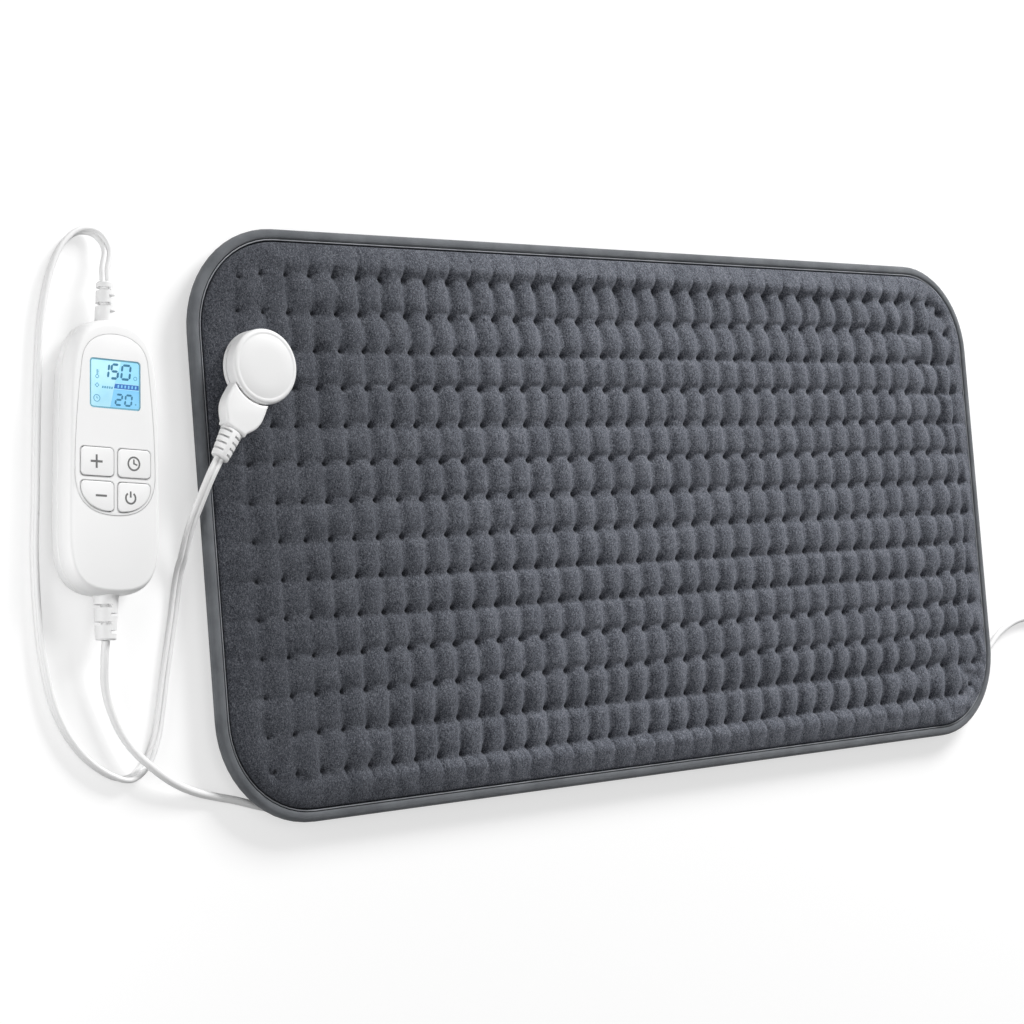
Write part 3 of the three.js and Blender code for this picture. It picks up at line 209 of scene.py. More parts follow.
def plush_surface(name, dark, mid, light):
    """Short pile with painted shade: darker towards the connector's end at the left, and darker in the tuft
    dimples.
    """
    made = Surface(name, Roughness=0.95, Sheen_Weight=0.22, Sheen_Roughness=0.5, Specular_IOR_Level=0.12)
    fibre = made.noise(FIBRE_SCALE, 2.0, 0.7, warp=0.8)
    streak = made.noise(STREAK_SCALE, 3.0, 0.7, STREAK_STRETCH, warp=1.2)
    cloud = made.noise(CLOUD_SCALE, 3.0, 0.6)
    pile = made.span(made.add(made.add(fibre, streak, 0.9), cloud, 0.2), PILE_RANGE)
    nap = made.ramp(pile, (0.05, dark), (0.5, mid), (0.95, light))
    across = made.node("ShaderNodeSeparateXYZ", Vector=made.place).outputs["X"]
    # Painted shade towards the connector's end
    nap = made.mix("MULTIPLY", 1.0, nap, made.span(across, LEFT_SHADE_RANGE, (LEFT_SHADE_LEVEL, 1.0)))
    # Painted shade in the tuft dimples, read from marks on the quilt's mesh
    pit_shade = made.node("ShaderNodeAttribute", attribute_name="pit_shade").outputs["Fac"]
    return made.paint(
        Base_Color=made.mix("MIX", pit_shade, nap, linear(PIT_SHADE_COLOUR)),
        Normal=made.bump(made.add(fibre, streak, 1.2), 0.5, 0.0008),
        Sheen_Tint=linear(SHEEN_TINT),
    )


def woven_surface(name, dark, light, pitch):
    made = Surface(name, Roughness=0.8, Sheen_Weight=0.15, Sheen_Roughness=0.5, Specular_IOR_Level=0.2)
    waves = []
    for direction in "XY":
        wave = made.node("ShaderNodeTexWave", Vector=made.place, Scale=pitch, Distortion=0.6)
        wave.bands_direction = direction
        waves.append(wave.outputs["Fac"])
    threads = made.add(*waves)
    shade = made.add(made.noise(CLOUD_SCALE, 4.0), threads, 0.12)
    colour = made.ramp(shade, (0.35, dark), (0.85, light))
    return made.paint(Base_Color=colour, Normal=made.bump(threads, 0.35, 0.0003))


def moulded_surface(name, colour, tint, roughness, grain=900.0):
    made = Surface(name, Specular_IOR_Level=0.4)
    fine = made.noise(grain, 2.0)
    return made.paint(
        Base_Color=made.ramp(made.noise(24.0), (0.3, colour), (0.75, tint)),
        Roughness=made.span(fine, results=(roughness - 0.05, roughness + 0.07)),
        Normal=made.bump(fine, 0.05, 0.0001),
    )


def metal_surface(name, colour, tint):
    made = Surface(name, Metallic=1.0)
    brushed = made.noise(700.0, stretch=(1.0, 0.1, 1.0))
    shade = made.ramp(brushed, (0.3, colour), (0.7, tint))
    return made.paint(Base_Color=shade, Roughness=made.span(brushed, results=(0.22, 0.4)))


def lit_surface(name, colour, tint, glow):
    """A colour of the lit display, with a faint uneven backlight."""
    made = Surface(name, Roughness=0.25, Coat_Weight=0.3, Emission_Strength=glow)
    shade = made.ramp(made.noise(70.0, 2.0), (0.3, colour), (0.7, tint))
    return made.paint(Base_Color=shade, Emission_Color=shade)


MATERIALS = {}


def add_materials(make, *rows):
    for name, *values in rows:
        MATERIALS[name] = make(name, *values)


add_materials(
    plush_surface, ("plush", "2c2e35", "595c64", "8b8e96"), ("back_cloth", "2a2c32", "44474d", "606369"),
)
add_materials(
    # The seam lip's colour, lighter than the binding's, is a painted highlight
    woven_surface, ("binding_cloth", "54575b", "717478", 900.0), ("seam_lip_highlight", "8d9095", "abaeb3", 1600.0),
    ("felt", "cfcabf", "e6e2d8", 500.0),
)
add_materials(
    moulded_surface, ("white_plastic", "f0f0f0", "f3f3f3", 0.38), ("panel_plastic", "efefef", "f2f2f2", 0.42),
    ("disc_plastic", "ececec", "efefef", 0.36), ("white_rubber", "ececec", "f0f0f0", 0.5, 1400.0),
    # Grey line colours: painted shade of the gaps round the buttons and round the face panel
    ("button_gap_shade", "cfcfcf", "d8d8d8", 0.6), ("panel_gap_shade", "dedede", "e4e4e4", 0.6),
    ("printed_icon", "626262", "6c6c6c", 0.6), ("wire_sheath", "b9503c", "c65c48", 0.5),
    ("board_green", "1f5a3a", "2a6b47", 0.55), ("black_plastic", "1c1d1f", "2a2b2e", 0.5),
    ("amber_film", "a8742c", "b9853a", 0.35),
)
add_materials(metal_surface, ("contact_brass", "b99a55", "d0b06a"), ("plated_steel", "b4b7bb", "cfd1d4"))
add_materials(
    lit_surface, ("lcd_light", "a9e2f8", "c2f0fd", 0.12), ("lcd_sky", "8fd3f4", "9fdcf6", 0.2),
    ("lcd_zone", "78bfea", "8accef", 0.18), ("lcd_bar", "2d68b4", "3a79c4", 0.1),
    ("lcd_ink", "2a6c8e", "357ea0", 0.03), ("lcd_faint", "5b9fc0", "6caecb", 0.08),
    ("lcd_edge", "5f9db2", "74adbf", 0.02),
)
# Slots whose material has another name
SLOT_FINISH = {"clear_window": "lcd_light", "display_glass": "lcd_light", "steel": "plated_steel"}


def material_of(name):
    """The material of a slot, or one by its own name."""
    return MATERIALS[SLOT_FINISH.get(name, name)]


def dress_nodes():
    for row in frame["record"]["subparts"]:
        node = frame["nodes"][row["node"]]
        node.data.materials.clear()
        node.data.materials.append(material_of(row["material_slot"]))


dress_nodes()


# Mesh building, in millimetres
SHARP_EDGE, LEAST_MITRE = 35.0, 0.4
QUARTERS = [(1, -1), (1, 1), (-1, 1), (-1, -1)]


def mesh_of(name, solid):
    verts, faces = solid
    mesh = bpy.data.meshes.new(name)
    mesh.from_pydata([tuple(c * MM for c in v) for v in verts], [], faces)
    mesh.update()
    return mesh


def soften(mesh, sharp):
    mesh.polygons.foreach_set("use_smooth", [True] * len(mesh.polygons))
    mesh.set_sharp_from_angle(angle=radians(sharp))


def moved(solid, matrix):
    verts, faces = solid
    return [tuple(matrix @ Vector(v)) for v in verts], faces


def add_piece(
    name, solid, slot, finish=None, body=ROOT, stands_for=None, sharp=SHARP_EDGE, at=None, ride=True,
):
    if at is not None:
        solid = moved(solid, at)
    mesh = mesh_of(name, solid)
    soften(mesh, sharp)
    mesh.materials.append(material_of(finish or slot))
    piece = link_piece(name, mesh)
    if ride:
        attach(piece, body)
    if stands_for:
        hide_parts(stands_for)
    return piece


def evaluated(piece):
    bpy.context.view_layer.update()
    return piece.evaluated_get(bpy.context.evaluated_depsgraph_get())


def cut(piece, tools, at):
    """Subtracts closed solids from a piece and keeps the result as its mesh."""
    cutters = []
    for i, tool in enumerate(tools):
        cutters.append(link_piece(f"cutter_{i}", mesh_of(f"cutter_{i}", moved(tool, at))))
        modifier = piece.modifiers.new(f"cut_{i}", "BOOLEAN")
        modifier.object = cutters[-1]
        modifier.solver = "EXACT"
    result = bpy.data.meshes.new_from_object(evaluated(piece))
    piece.modifiers.clear()
    old = piece.data
    result.name = old.name
    piece.data = result
    bpy.data.meshes.remove(old)
    for cutter in cutters:
        bpy.data.objects.remove(cutter)
    soften(result, SHARP_EDGE)


def joined(solids):
    verts, faces = [], []
    for more_verts, more_faces in solids:
        start = len(verts)
        verts.extend(more_verts)
        faces.extend(tuple(i + start for i in face) for face in more_faces)
    return verts, faces


def loft(rings, looped=False, caps=True):
    count = len(rings[0])
    verts = [tuple(p) for ring in rings for p in ring]
    faces = []
    for band in range(len(rings) if looped else len(rings) - 1):
        low, high = band * count, (band + 1) % len(rings) * count
        for i in range(count):
            j = (i + 1) % count
            faces.append((low + i, low + j, high + j, high + i))
    if caps and not looped:
        last = (len(rings) - 1) * count
        faces.append(tuple(range(count - 1, -1, -1)))
        faces.append(tuple(range(last, last + count)))
    return verts, faces


def band_between(inner, outer):
    """Faces that join two closed rows of points of the same count."""
    after = inner[1:] + inner[:1]
    outer_after = outer[1:] + outer[:1]
    return list(zip(inner, outer, outer_after, after))


def at_height(outline, height):
    return [(x, y, height) for x, y in outline]


def ellipse(half_width, half_height, steps, x=0.0, y=0.0):
    turns = [2 * pi * i / steps for i in range(steps)]
    return [(x + half_width * cos(turn), y + half_height * sin(turn)) for turn in turns]


def revolve(profile, steps):
    """A turned solid about Z; the profile runs from the axis up the outside and back to the axis."""
    rings = [at_height(ellipse(radius, radius, steps), height) for radius, height in profile[1:-1]]
    verts, faces = loft(rings, caps=False)
    low, high = len(verts), len(verts) + 1
    verts += [(0, 0, profile[0][1]), (0, 0, profile[-1][1])]
    last = (len(rings) - 1) * steps
    for i in range(steps):
        j = (i + 1) % steps
        faces += [(low, j, i), (high, last + i, last + j)]
    return verts, faces


def quarter_turn(steps):
    return [step / steps * pi / 2 for step in range(steps + 1)]


def rounded_rect(width, height, radius, x=0.0, y=0.0, steps=6, sides=(1, 1)):
    """A rectangle with round corners, its upright and its level sides split in so many steps."""
    points = []
    for quarter, (sx, sy) in enumerate(QUARTERS):
        ahead = quarter * pi / 2
        for turn in quarter_turn(steps):
            angle = ahead - pi / 2 + turn
            px = x + sx * (width / 2 - radius) + radius * cos(angle)
            py = y + sy * (height / 2 - radius) + radius * sin(angle)
            points.append((px, py))
        length, count = (width if quarter % 2 else height) - 2 * radius, sides[quarter % 2]
        for step in range(1, count):
            reach = length * step / count
            points.append((px - reach * sin(ahead), py + reach * cos(ahead)))
    return points


def inset(outline, distance):
    """An anticlockwise outline moved inwards by the same distance everywhere."""
    result = []
    for i, (x, y) in enumerate(outline):
        x0, y0 = outline[i - 1]
        x1, y1 = outline[(i + 1) % len(outline)]
        one, two = Vector((x - x0, y - y0)).normalized(), Vector((x1 - x, y1 - y)).normalized()
        inward = Vector((-one.y - two.y, one.x + two.x))
        step = inward * (2 * distance / max(inward.length_squared, LEAST_MITRE))
        result.append((x + step.x, y + step.y))
    return result


def pillow(outline, low, high, bevel, steps):
    """A slab whose edges are rounded inside its outline."""
    edge = [
        (inset(outline, bevel * (1 - sin(angle))), bevel * (1 - cos(angle))) for angle in quarter_turn(steps)
    ]
    lower = [at_height(ring, low + rise) for ring, rise in edge]
    upper = [at_height(ring, high - rise) for ring, rise in reversed(edge)]
    return loft(lower + upper)


def prism(outline, low, high):
    return loft([at_height(outline, low), at_height(outline, high)])


def ring_line(outline, width, low, high):
    """A thin closed line that follows an outline, half inside and half outside it."""
    inner, outer = inset(outline, width / 2), inset(outline, -width / 2)
    corners = ((inner, high), (inner, low), (outer, low), (outer, high))
    return loft([at_height(ring, height) for ring, height in corners], looped=True)


def block(x, y, z):
    return prism([(x[0], y[0]), (x[1], y[0]), (x[1], y[1]), (x[0], y[1])], *z)


def bezier(start, c1, c2, end, steps):
    points = []
    for step in range(steps):
        t = step / steps
        weights = ((1 - t) ** 3, 3 * t * (1 - t) ** 2, 3 * t * t * (1 - t), t ** 3)
        points.append(tuple(sum(w * p[k] for w, p in zip(weights, (start, c1, c2, end))) for k in (0, 1)))
    return points


Pear = namedtuple("Pear", "bottom belly belly_y neck neck_y top foot foot_rise crown crown_drop")
PEAR_STEPS, NECK_LEAN, TAPER_SHARE = 16, 0.6, 0.6


def pear(shape, drawn_in):
    """A wide foot, a long taper and a domed top, drawn in by a distance."""
    low, high = (0, shape.bottom + drawn_in), (0, shape.top - drawn_in)
    belly, neck = (shape.belly - drawn_in, shape.belly_y), (shape.neck - drawn_in, shape.neck_y)
    third = (neck[1] - belly[1]) / 3
    side = neck[0] + (belly[0] - neck[0]) * TAPER_SHARE
    curves = (
        (low, (shape.foot, low[1]), (belly[0], low[1] + shape.foot_rise), belly),
        (belly, (belly[0], belly[1] + third), (side, neck[1] - third), neck),
        (neck, (neck[0] - NECK_LEAN, high[1] - shape.crown_drop), (shape.crown, high[1]), high),
    )
    right = [point for curve in curves for point in bezier(*curve, PEAR_STEPS)]
    return right + [high] + [(-x, y) for x, y in reversed(right[1:])]


# Cords
REST_GAP = 0.05


def smooth_step(t):
    return t * t * (3 - 2 * t)


def smooth_route(points, per_span):
    """A centripetal curve through the points, as the CAD source draws it."""
    points = [Vector(p) for p in points]
    ends = [2 * points[0] - points[1]] + points + [2 * points[-1] - points[-2]]
    path = []
    for p0, p1, p2, p3 in zip(ends, ends[1:], ends[2:], ends[3:]):
        d0, d1, d2 = (max((b - a).length, 1e-6) ** 0.5 for a, b in ((p0, p1), (p1, p2), (p2, p3)))
        t1 = ((p1 - p0) / d0 - (p2 - p0) / (d0 + d1) + (p2 - p1) / d1) * d1
        t2 = ((p2 - p1) / d1 - (p3 - p1) / (d1 + d2) + (p3 - p2) / d2) * d1
        for step in range(per_span):
            t = step / per_span
            path.append(
                p1 * (2 * t ** 3 - 3 * t * t + 1) + t1 * (t ** 3 - 2 * t * t + t)
                + p2 * (3 * t * t - 2 * t ** 3) + t2 * (t ** 3 - t * t)
            )
    path.append(points[-1])
    return path


def route_length(path):
    return sum((b - a).length for a, b in zip(path, path[1:]))


PAD_LEAD_ROUTE = [
    CONNECTOR @ Vector((PLUG_RELIEF_END + 0.3, 0, PLUG_AXIS)),
    CONNECTOR @ Vector((PLUG_RELIEF_END + 8.3, 0, PLUG_AXIS - 0.4)),
    (-304.6, 13.5, 16.4), (-308.4, -1, 10.2), (-311.4, -17.4, 5.4), (-315.3, -38.5, 2.8), (-319.3, -55, 2.2),
    (-323.3, -71, 2.1), (-327.2, -88, 2.1), (-331, -101, 2.1), (-338.2, -113, 2.1), (-347, -118.4, 2.3),
    (-356.5, -116.6, 2.7), (-371.6, -105.7, 2.7), (-383.6, -87, 2.7), (-390, -56.9, 2.7), (-390.4, -12, 2.7),
    (-387.8, 16, 2.7), (-385.2, 44, 2.7), (-382.4, 72, 2.7), (-378, 103, 2.7), (-371.6, 125, 2.7),
    (-363.6, 138.6, 2.8), (-354, 145, 3.4), (-345.4, 143.6, 4.8), (-342, 135.6, 6.8),
    CONTROLLER @ Vector((0, LEAD_RELIEF_END + 6, PARTING - 0.5)),
    CONTROLLER @ Vector((0, LEAD_RELIEF_END, PARTING)),
]
TWIN_WIDTH, TWIN_LOBE, TWIN_OFFSET = 5.4, 1.4, 1.3
TWIN_STEPS, LEAD_STEPS = 9, 8
# The lead settles on the floor below the first height, wholly once it has come down by the second
SETTLE_FROM, SETTLE_SPAN = 6.0, 3.0
# How far the flat lead is turned up on its edge at each route point, from 0 flat to 1 on edge
TWIN_TURN = [0] * 9 + [0.05, 0.3, 0.7] + [1] * 9 + [0.95, 0.85, 0.7, 0.5, 0.3, 0.15, 0.1]


def twin_section():
    """Two round cores side by side with a groove between them."""
    open_angle = pi - acos(TWIN_OFFSET / TWIN_LOBE)
    right = []
    for step in range(TWIN_STEPS):
        angle = -open_angle + 2 * open_angle * step / TWIN_STEPS
        right.append((TWIN_OFFSET + TWIN_LOBE * cos(angle), TWIN_LOBE * sin(angle)))
    return right + [(-x, -y) for x, y in right]


def add_pad_lead():
    path = smooth_route(PAD_LEAD_ROUTE, LEAD_STEPS)
    rings = []
    for i, here in enumerate(path):
        along = (path[min(i + 1, len(path) - 1)] - path[max(i - 1, 0)]).normalized()
        span, part = min(divmod(i, LEAD_STEPS), (len(TWIN_TURN) - 2, LEAD_STEPS))
        turn = TWIN_TURN[span] + (TWIN_TURN[span + 1] - TWIN_TURN[span]) * part / LEAD_STEPS
        side = Vector((0, 0, 1)).cross(along).normalized()
        up = along.cross(side)
        angle = turn * pi / 2
        wide = side * cos(angle) + up * sin(angle)
        thin = along.cross(wide)
        settled = max(0.0, min(1.0, (SETTLE_FROM - here.z) / SETTLE_SPAN))
        rest = TWIN_LOBE + TWIN_OFFSET * sin(angle)
        height = max(here.z + (rest + REST_GAP - here.z) * settled * (1 - turn), rest)
        middle = Vector((here.x, here.y, height))
        rings.append([tuple(middle + wide * x + thin * y) for x, y in twin_section()])
    piece = add_piece(
        "pad_lead_twin", loft(rings), "white_rubber", ride=False, sharp=50.0, stands_for="pad_lead",
    )
    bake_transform(piece)
    return route_length(path)


MAINS_RADIUS = 2.0
REST = MAINS_RADIUS + REST_GAP
COIL = Vector((388.0, -112.0, 3.1))
COIL_INNER, COIL_PITCH, COIL_RISE, COIL_TURNS, COIL_TAIL = 16.2, 4.45, 4.5, 6.25, 12.0
COIL_OUTER = COIL_INNER + COIL_PITCH * COIL_TURNS / 2
COIL_CLIMB_TURNS, COIL_STEPS = 0.5, 16
MAINS_ROUTE = [
    CONTROLLER @ Vector((0, -MAINS_RELIEF_END, PARTING)),
    CONTROLLER @ Vector((0, -MAINS_RELIEF_END - 9, PARTING - 1)),
    (-359.3, -75, 5.9), (-355.8, -88, 5.2), (-350.3, -99.5, 5.5), (-344, -107.8, 6.3), (-338.3, -113.2, 6.7),
    (-332, -118.2, 6.3), (-323.5, -123.4, 5), (-313, -128, 3.4), (-301, -131.6, 2.3), (-288.5, -134.8, REST),
    (-274, -139.3, REST), (-258, -143.2, REST), (-240, -145.2, REST), (-215, -145.5, REST),
    (-120, -145.5, REST), (0, -145.5, REST), (120, -145.5, REST), (215, -145.5, REST), (240, -145.1, REST),
    (256, -144.4, REST), (270.7, -138.9, REST), (281, -131, REST), (290, -120, REST), (299, -108, REST),
    (311, -95.5, REST), (328, -85.5, REST + 0.2), (350, -80.8, REST + 0.6),
    (COIL.x - 12.3, COIL.y + COIL_OUTER, COIL.z), (COIL.x - 4.3, COIL.y + COIL_OUTER, COIL.z),
]


def coil_route():
    """Spirals in on the table, climbs a layer where it reverses, and spirals out on top."""
    half = COIL_TURNS / 2
    count = round(COIL_TURNS * COIL_STEPS)
    points = []
    for i in range(count + 1):
        turn = COIL_TURNS * i / count
        radius = COIL_INNER + COIL_PITCH * abs(turn - half)
        angle = pi / 2 - turn * 2 * pi
        climbed = min(max((turn - half) / COIL_CLIMB_TURNS + 0.5, 0), 1)
        rise = COIL_RISE * smooth_step(climbed)
        points.append(COIL + Vector((radius * cos(angle), radius * sin(angle), rise)))
    points.append(points[-1] + Vector((0, -COIL_TAIL, 0)))
    return points


def add_mains_lead():
    points = [Vector(p) for p in MAINS_ROUTE] + coil_route()
    data = bpy.data.curves.new("mains_cord", "CURVE")
    data.dimensions = "3D"
    data.bevel_depth = MAINS_RADIUS * MM
    data.bevel_resolution = 4
    data.resolution_u = 6
    data.use_fill_caps = True
    data.materials.append(material_of("white_rubber"))
    spline = data.splines.new("BEZIER")
    spline.bezier_points.add(len(points) - 1)
    for knot, place in zip(spline.bezier_points, points):
        knot.co = place * MM
        knot.handle_left_type = knot.handle_right_type = "AUTO"
    piece = link_piece("mains_cord", data)
    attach(piece, ROOT)
    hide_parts("mains_lead", "mains_coil")
    length = route_length(smooth_route(points, LEAD_STEPS))
    return length


pad_lead_length = add_pad_lead()
mains_length = add_mains_lead()


# Pad
CORNER_X, CORNER_Y = PAD_LENGTH / 2 - PAD_CORNER, PAD_WIDTH / 2 - PAD_CORNER
CORNER_STEPS, SIDE_STEPS = 14, (24, 60)


def pad_ring(drawn_in, height):
    """The pad's outline drawn in by a distance, with points along its straight sides too."""
    width, depth = PAD_LENGTH - 2 * drawn_in, PAD_WIDTH - 2 * drawn_in
    outline = rounded_rect(width, depth, PAD_CORNER - drawn_in, steps=CORNER_STEPS, sides=SIDE_STEPS)
    return at_height(outline, height)


# Quilt: tufts in columns and rows, cells of cloth between them, and a band from the outer tufts to the seam
COLUMNS, ROWS = 37, 14
TUFT_LEFT, TUFT_RIGHT, TUFT_BOTTOM, TUFT_TOP = -273.0, 280.0, -125.0, 126.0
CELL_X, CELL_Y, BAND = 6, 7, 8
GATHER = 0.45
TUFT_HEIGHT, PUFF_HEIGHT, FILLED_HEIGHT = 12.6, 15.8, 16.0
ROW_LIFT, COLUMN_LIFT = 0.7, 0.4
ROW_CREASE, COLUMN_CREASE, BORDER_CREASE = 0.1, 0.9, 1.5
ROW_TIGHT, COLUMN_TIGHT, BORDER_TIGHT = 7.0, 5.2, 2.5
MID_CELL_CREASE, BORDER_FADE = 0.5, 0.6
CROWN_HEIGHT, CROWN_RUN = 14.8, 1.8
SEAM_INSET, SEAM_HEIGHT, SEAM_FALL = 7.0, 11.0, 2.6
CORNER_FREE, CORNER_LIMIT = 14.0, PAD_CORNER - 17.0
SEAT_HEIGHT, SEAT_RADIUS = 14.3, 18.6
# The filling is thinner at the connector's end, and the tufts pull less there
THIN_FROM, THIN_SPAN, THIN_PULL = -290.0, 180.0, 0.4
DIMPLE_DEPTH, DIMPLE_RADIUS, LEAST_DIMPLE = 2.7, 1.15, 0.45
FUNNEL_DEPTH, FUNNEL_RADIUS, FUNNEL_REACH = 1.4, 3.6, 9.0
# Painted shade in the tuft dimples: its reach, its least strength and its gain where the tufts pull hard
PIT_SHADE_RADIUS, LEAST_PIT_SHADE, PIT_SHADE_GAIN = 1.0, 0.55, 0.35
BAND_SWELL = (0.92, 0.8, 0.68) + (0.6,) * 5
SKIRT_HEIGHTS = (9.6, 8.2)


def corner_room(x, y):
    """How far the tufts reach past the start of the pad's round corner on a point's side."""
    room_x = (TUFT_RIGHT if x > 0 else -TUFT_LEFT) - CORNER_X
    room_y = (TUFT_TOP if y > 0 else -TUFT_BOTTOM) - CORNER_Y
    return room_x, room_y


def seam_point(x, y, on_row):
    """Where the cloth from a point on the border of the tufts is sewn into the binding."""
    sx, sy = copysign(1, x), copysign(1, y)
    room_x, room_y = corner_room(x, y)
    if on_row and abs(x) <= CORNER_X:
        return x, sy * (PAD_WIDTH / 2 - SEAM_INSET)
    if not on_row and abs(y) <= CORNER_Y:
        return sx * (PAD_LENGTH / 2 - SEAM_INSET), y
    if on_row:
        angle = pi / 2 - (abs(x) - CORNER_X) / room_x * pi / 4
    else:
        angle = (abs(y) - CORNER_Y) / room_y * pi / 4
    radius = PAD_CORNER - SEAM_INSET
    return sx * (CORNER_X + radius * cos(angle)), sy * (CORNER_Y + radius * sin(angle))


def gathered(count, per_cell):
    """Grid lines counted in cells, closer together near the tufts."""
    even = np.arange(count + 1) / per_cell
    return even - GATHER * np.sin(2 * np.pi * even) / (2 * np.pi)


def rounded_corner(x, y):
    """Draws the grid of tufts in where the pad's corner is round."""
    out_x, out_y = abs(x) - CORNER_X, abs(y) - CORNER_Y
    reach = hypot(out_x, out_y)
    if out_x <= 0 or out_y <= 0 or reach <= CORNER_FREE:
        return x, y
    room_x, room_y = corner_room(x, y)
    furthest = reach * min(room_x / out_x, room_y / out_y)
    if furthest <= CORNER_LIMIT:
        return x, y
    squeeze = (CORNER_LIMIT - CORNER_FREE) / (furthest - CORNER_FREE)
    drawn = (CORNER_FREE + (reach - CORNER_FREE) * squeeze) / reach
    return copysign(CORNER_X + out_x * drawn, x), copysign(CORNER_Y + out_y * drawn, y)


def tuft_strength(x):
    t = np.clip((np.asarray(x) - THIN_FROM) / THIN_SPAN, 0, 1)
    return THIN_PULL + (1 - THIN_PULL) * smooth_step(t)


def tuft_grid(xs, ys):
    """The cloth's points among the tufts, and how deep each is creased."""
    points, creases = [], []
    for y in ys:
        for x in xs:
            across = abs(sin(pi * (x - TUFT_LEFT) * (COLUMNS - 1) / (TUFT_RIGHT - TUFT_LEFT)))
            along = abs(sin(pi * (y - TUFT_BOTTOM) * (ROWS - 1) / (TUFT_TOP - TUFT_BOTTOM)))
            lift = across * along + ROW_LIFT * across * (1 - along) + COLUMN_LIFT * along * (1 - across)
            points.append((*rounded_corner(x, y), TUFT_HEIGHT + (PUFF_HEIGHT - TUFT_HEIGHT) * lift))
            near_row = MID_CELL_CREASE + (1 - MID_CELL_CREASE) * (1 - along) ** 2
            row_crease = ROW_CREASE * exp(-(along * ROW_TIGHT) ** 2)
            creases.append(row_crease + COLUMN_CREASE * near_row * exp(-(across * COLUMN_TIGHT) ** 2))
    return points, creases


def band_point(start, seam, t):
    """A point of the band, some way from an outer tuft's height over the crown down to the seam."""
    x, y, z = start
    crown = z + (CROWN_HEIGHT - z) * sin(min(t * CROWN_RUN, 1) * pi / 2)
    return x + (seam[0] - x) * t, y + (seam[1] - y) * t, crown + (SEAM_HEIGHT - crown) * t ** SEAM_FALL


def quilt_cloth():
    """The front cloth before it swells, with what is sewn down and how deep it is creased."""
    nx, ny = (COLUMNS - 1) * CELL_X, (ROWS - 1) * CELL_Y
    xs = TUFT_LEFT + (TUFT_RIGHT - TUFT_LEFT) * gathered(nx, CELL_X) / (COLUMNS - 1)
    ys = TUFT_BOTTOM + (TUFT_TOP - TUFT_BOTTOM) * gathered(ny, CELL_Y) / (ROWS - 1)
    verts, creases = tuft_grid(xs, ys)
    grid_count = len(verts)
    index = np.arange(grid_count).reshape(ny + 1, nx + 1).tolist()
    tufts = [index[j][i] for j in range(0, ny + 1, CELL_Y) for i in range(0, nx + 1, CELL_X)]
    faces = []
    for low, high in zip(index, index[1:]):
        faces += zip(low, low[1:], high[1:], high)
    border = [(i, 0, True) for i in range(nx)] + [(nx, j, False) for j in range(ny)]
    border += [(i, ny, True) for i in range(nx, 0, -1)] + [(0, j, False) for j in range(ny, 0, -1)]
    first = ring = [index[j][i] for i, j, _ in border]
    for step in range(1, BAND + 1):
        t = step / BAND
        new = list(range(len(verts), len(verts) + len(ring)))
        for (i, j, on_row), start in zip(border, first):
            x, y, _ = verts[start]
            verts.append(band_point(verts[start], seam_point(xs[i], ys[j], on_row), t))
            off = abs(sin(pi * (i / CELL_X if on_row else j / CELL_Y)))
            in_corner = abs(x) > CORNER_X and abs(y) > CORNER_Y
            depth = 0.0 if in_corner else BORDER_CREASE * (1 - BORDER_FADE * t * t)
            creases.append(depth * exp(-(off * BORDER_TIGHT) ** 2))
        faces += band_between(ring, new)
        ring = new
    verts = np.array(verts)
    seat = np.hypot(verts[:, 0] - DISC.x, verts[:, 1] - DISC.y) < SEAT_RADIUS
    verts[seat, 2] = SEAT_HEIGHT
    sewn = sorted({*tufts, *ring, *np.nonzero(seat)[0].tolist()})
    return SimpleNamespace(
        verts=verts, faces=faces, sewn=sewn, tufts=tufts, edge=ring, creases=np.where(seat, 0.0, creases),
        grid_count=grid_count,
    )


def points_of(mesh):
    places = np.zeros(len(mesh.vertices) * 3)
    mesh.vertices.foreach_get("co", places)
    return places.reshape(-1, 3) / MM


CLOTH_SETTINGS = {
    "quality": 4, "mass": 0.1, "tension_stiffness": 10, "compression_stiffness": 10, "shear_stiffness": 4,
    "bending_stiffness": 0.05, "tension_damping": 8, "compression_damping": 8, "shear_damping": 8,
    "vertex_group_mass": "sewn", "use_pressure": True, "uniform_pressure_force": 6.0, "shrink_min": -0.10,
}
SWELL_FRAMES, SWELL_CAP = 10, 5.0


def swell(verts, faces, sewn):
    """Cloth simulation: the filling presses the cloth up between the tufts."""
    mesh = mesh_of("quilt_cloth", (verts, faces))
    piece = link_piece("quilt_cloth", mesh)
    piece.vertex_groups.new(name="sewn").add(sewn, 1.0, "REPLACE")
    cloth = piece.modifiers.new("cloth", "CLOTH")
    for key, value in CLOTH_SETTINGS.items():
        setattr(cloth.settings, key, value)
    cloth.settings.effector_weights.gravity = 0
    cloth.collision_settings.use_collision = False
    for step in range(SWELL_FRAMES):
        scene.frame_set(step + 1)
    moves = points_of(evaluated(piece).data) - verts
    scene.frame_set(1)
    bpy.data.objects.remove(piece)
    bpy.data.meshes.remove(mesh)
    reach = np.linalg.norm(moves, axis=1, keepdims=True)
    return verts + moves * np.minimum(1.0, SWELL_CAP / np.maximum(reach, 1e-9))


def subdivided(verts, faces):
    """The open cloth with each face split in four and smoothed."""
    mesh = mesh_of("quilt_fine", (verts, faces))
    piece = link_piece("quilt_fine", mesh)
    piece.modifiers.new("smoother", "SUBSURF").levels = 1
    fine = evaluated(piece).data
    places = points_of(fine)
    corners = [tuple(face.vertices) for face in fine.polygons]
    bpy.data.objects.remove(piece)
    bpy.data.meshes.remove(mesh)
    return places, corners


def open_edge(faces):
    """The points of the cloth's one open edge, in order."""
    sides = {(face[i - 1], face[i]) for face in faces for i in range(len(face))}
    after = {a: b for a, b in sides if (b, a) not in sides}
    edge = [next(iter(after))]
    while after[edge[-1]] != edge[0]:
        edge.append(after[edge[-1]])
    return edge


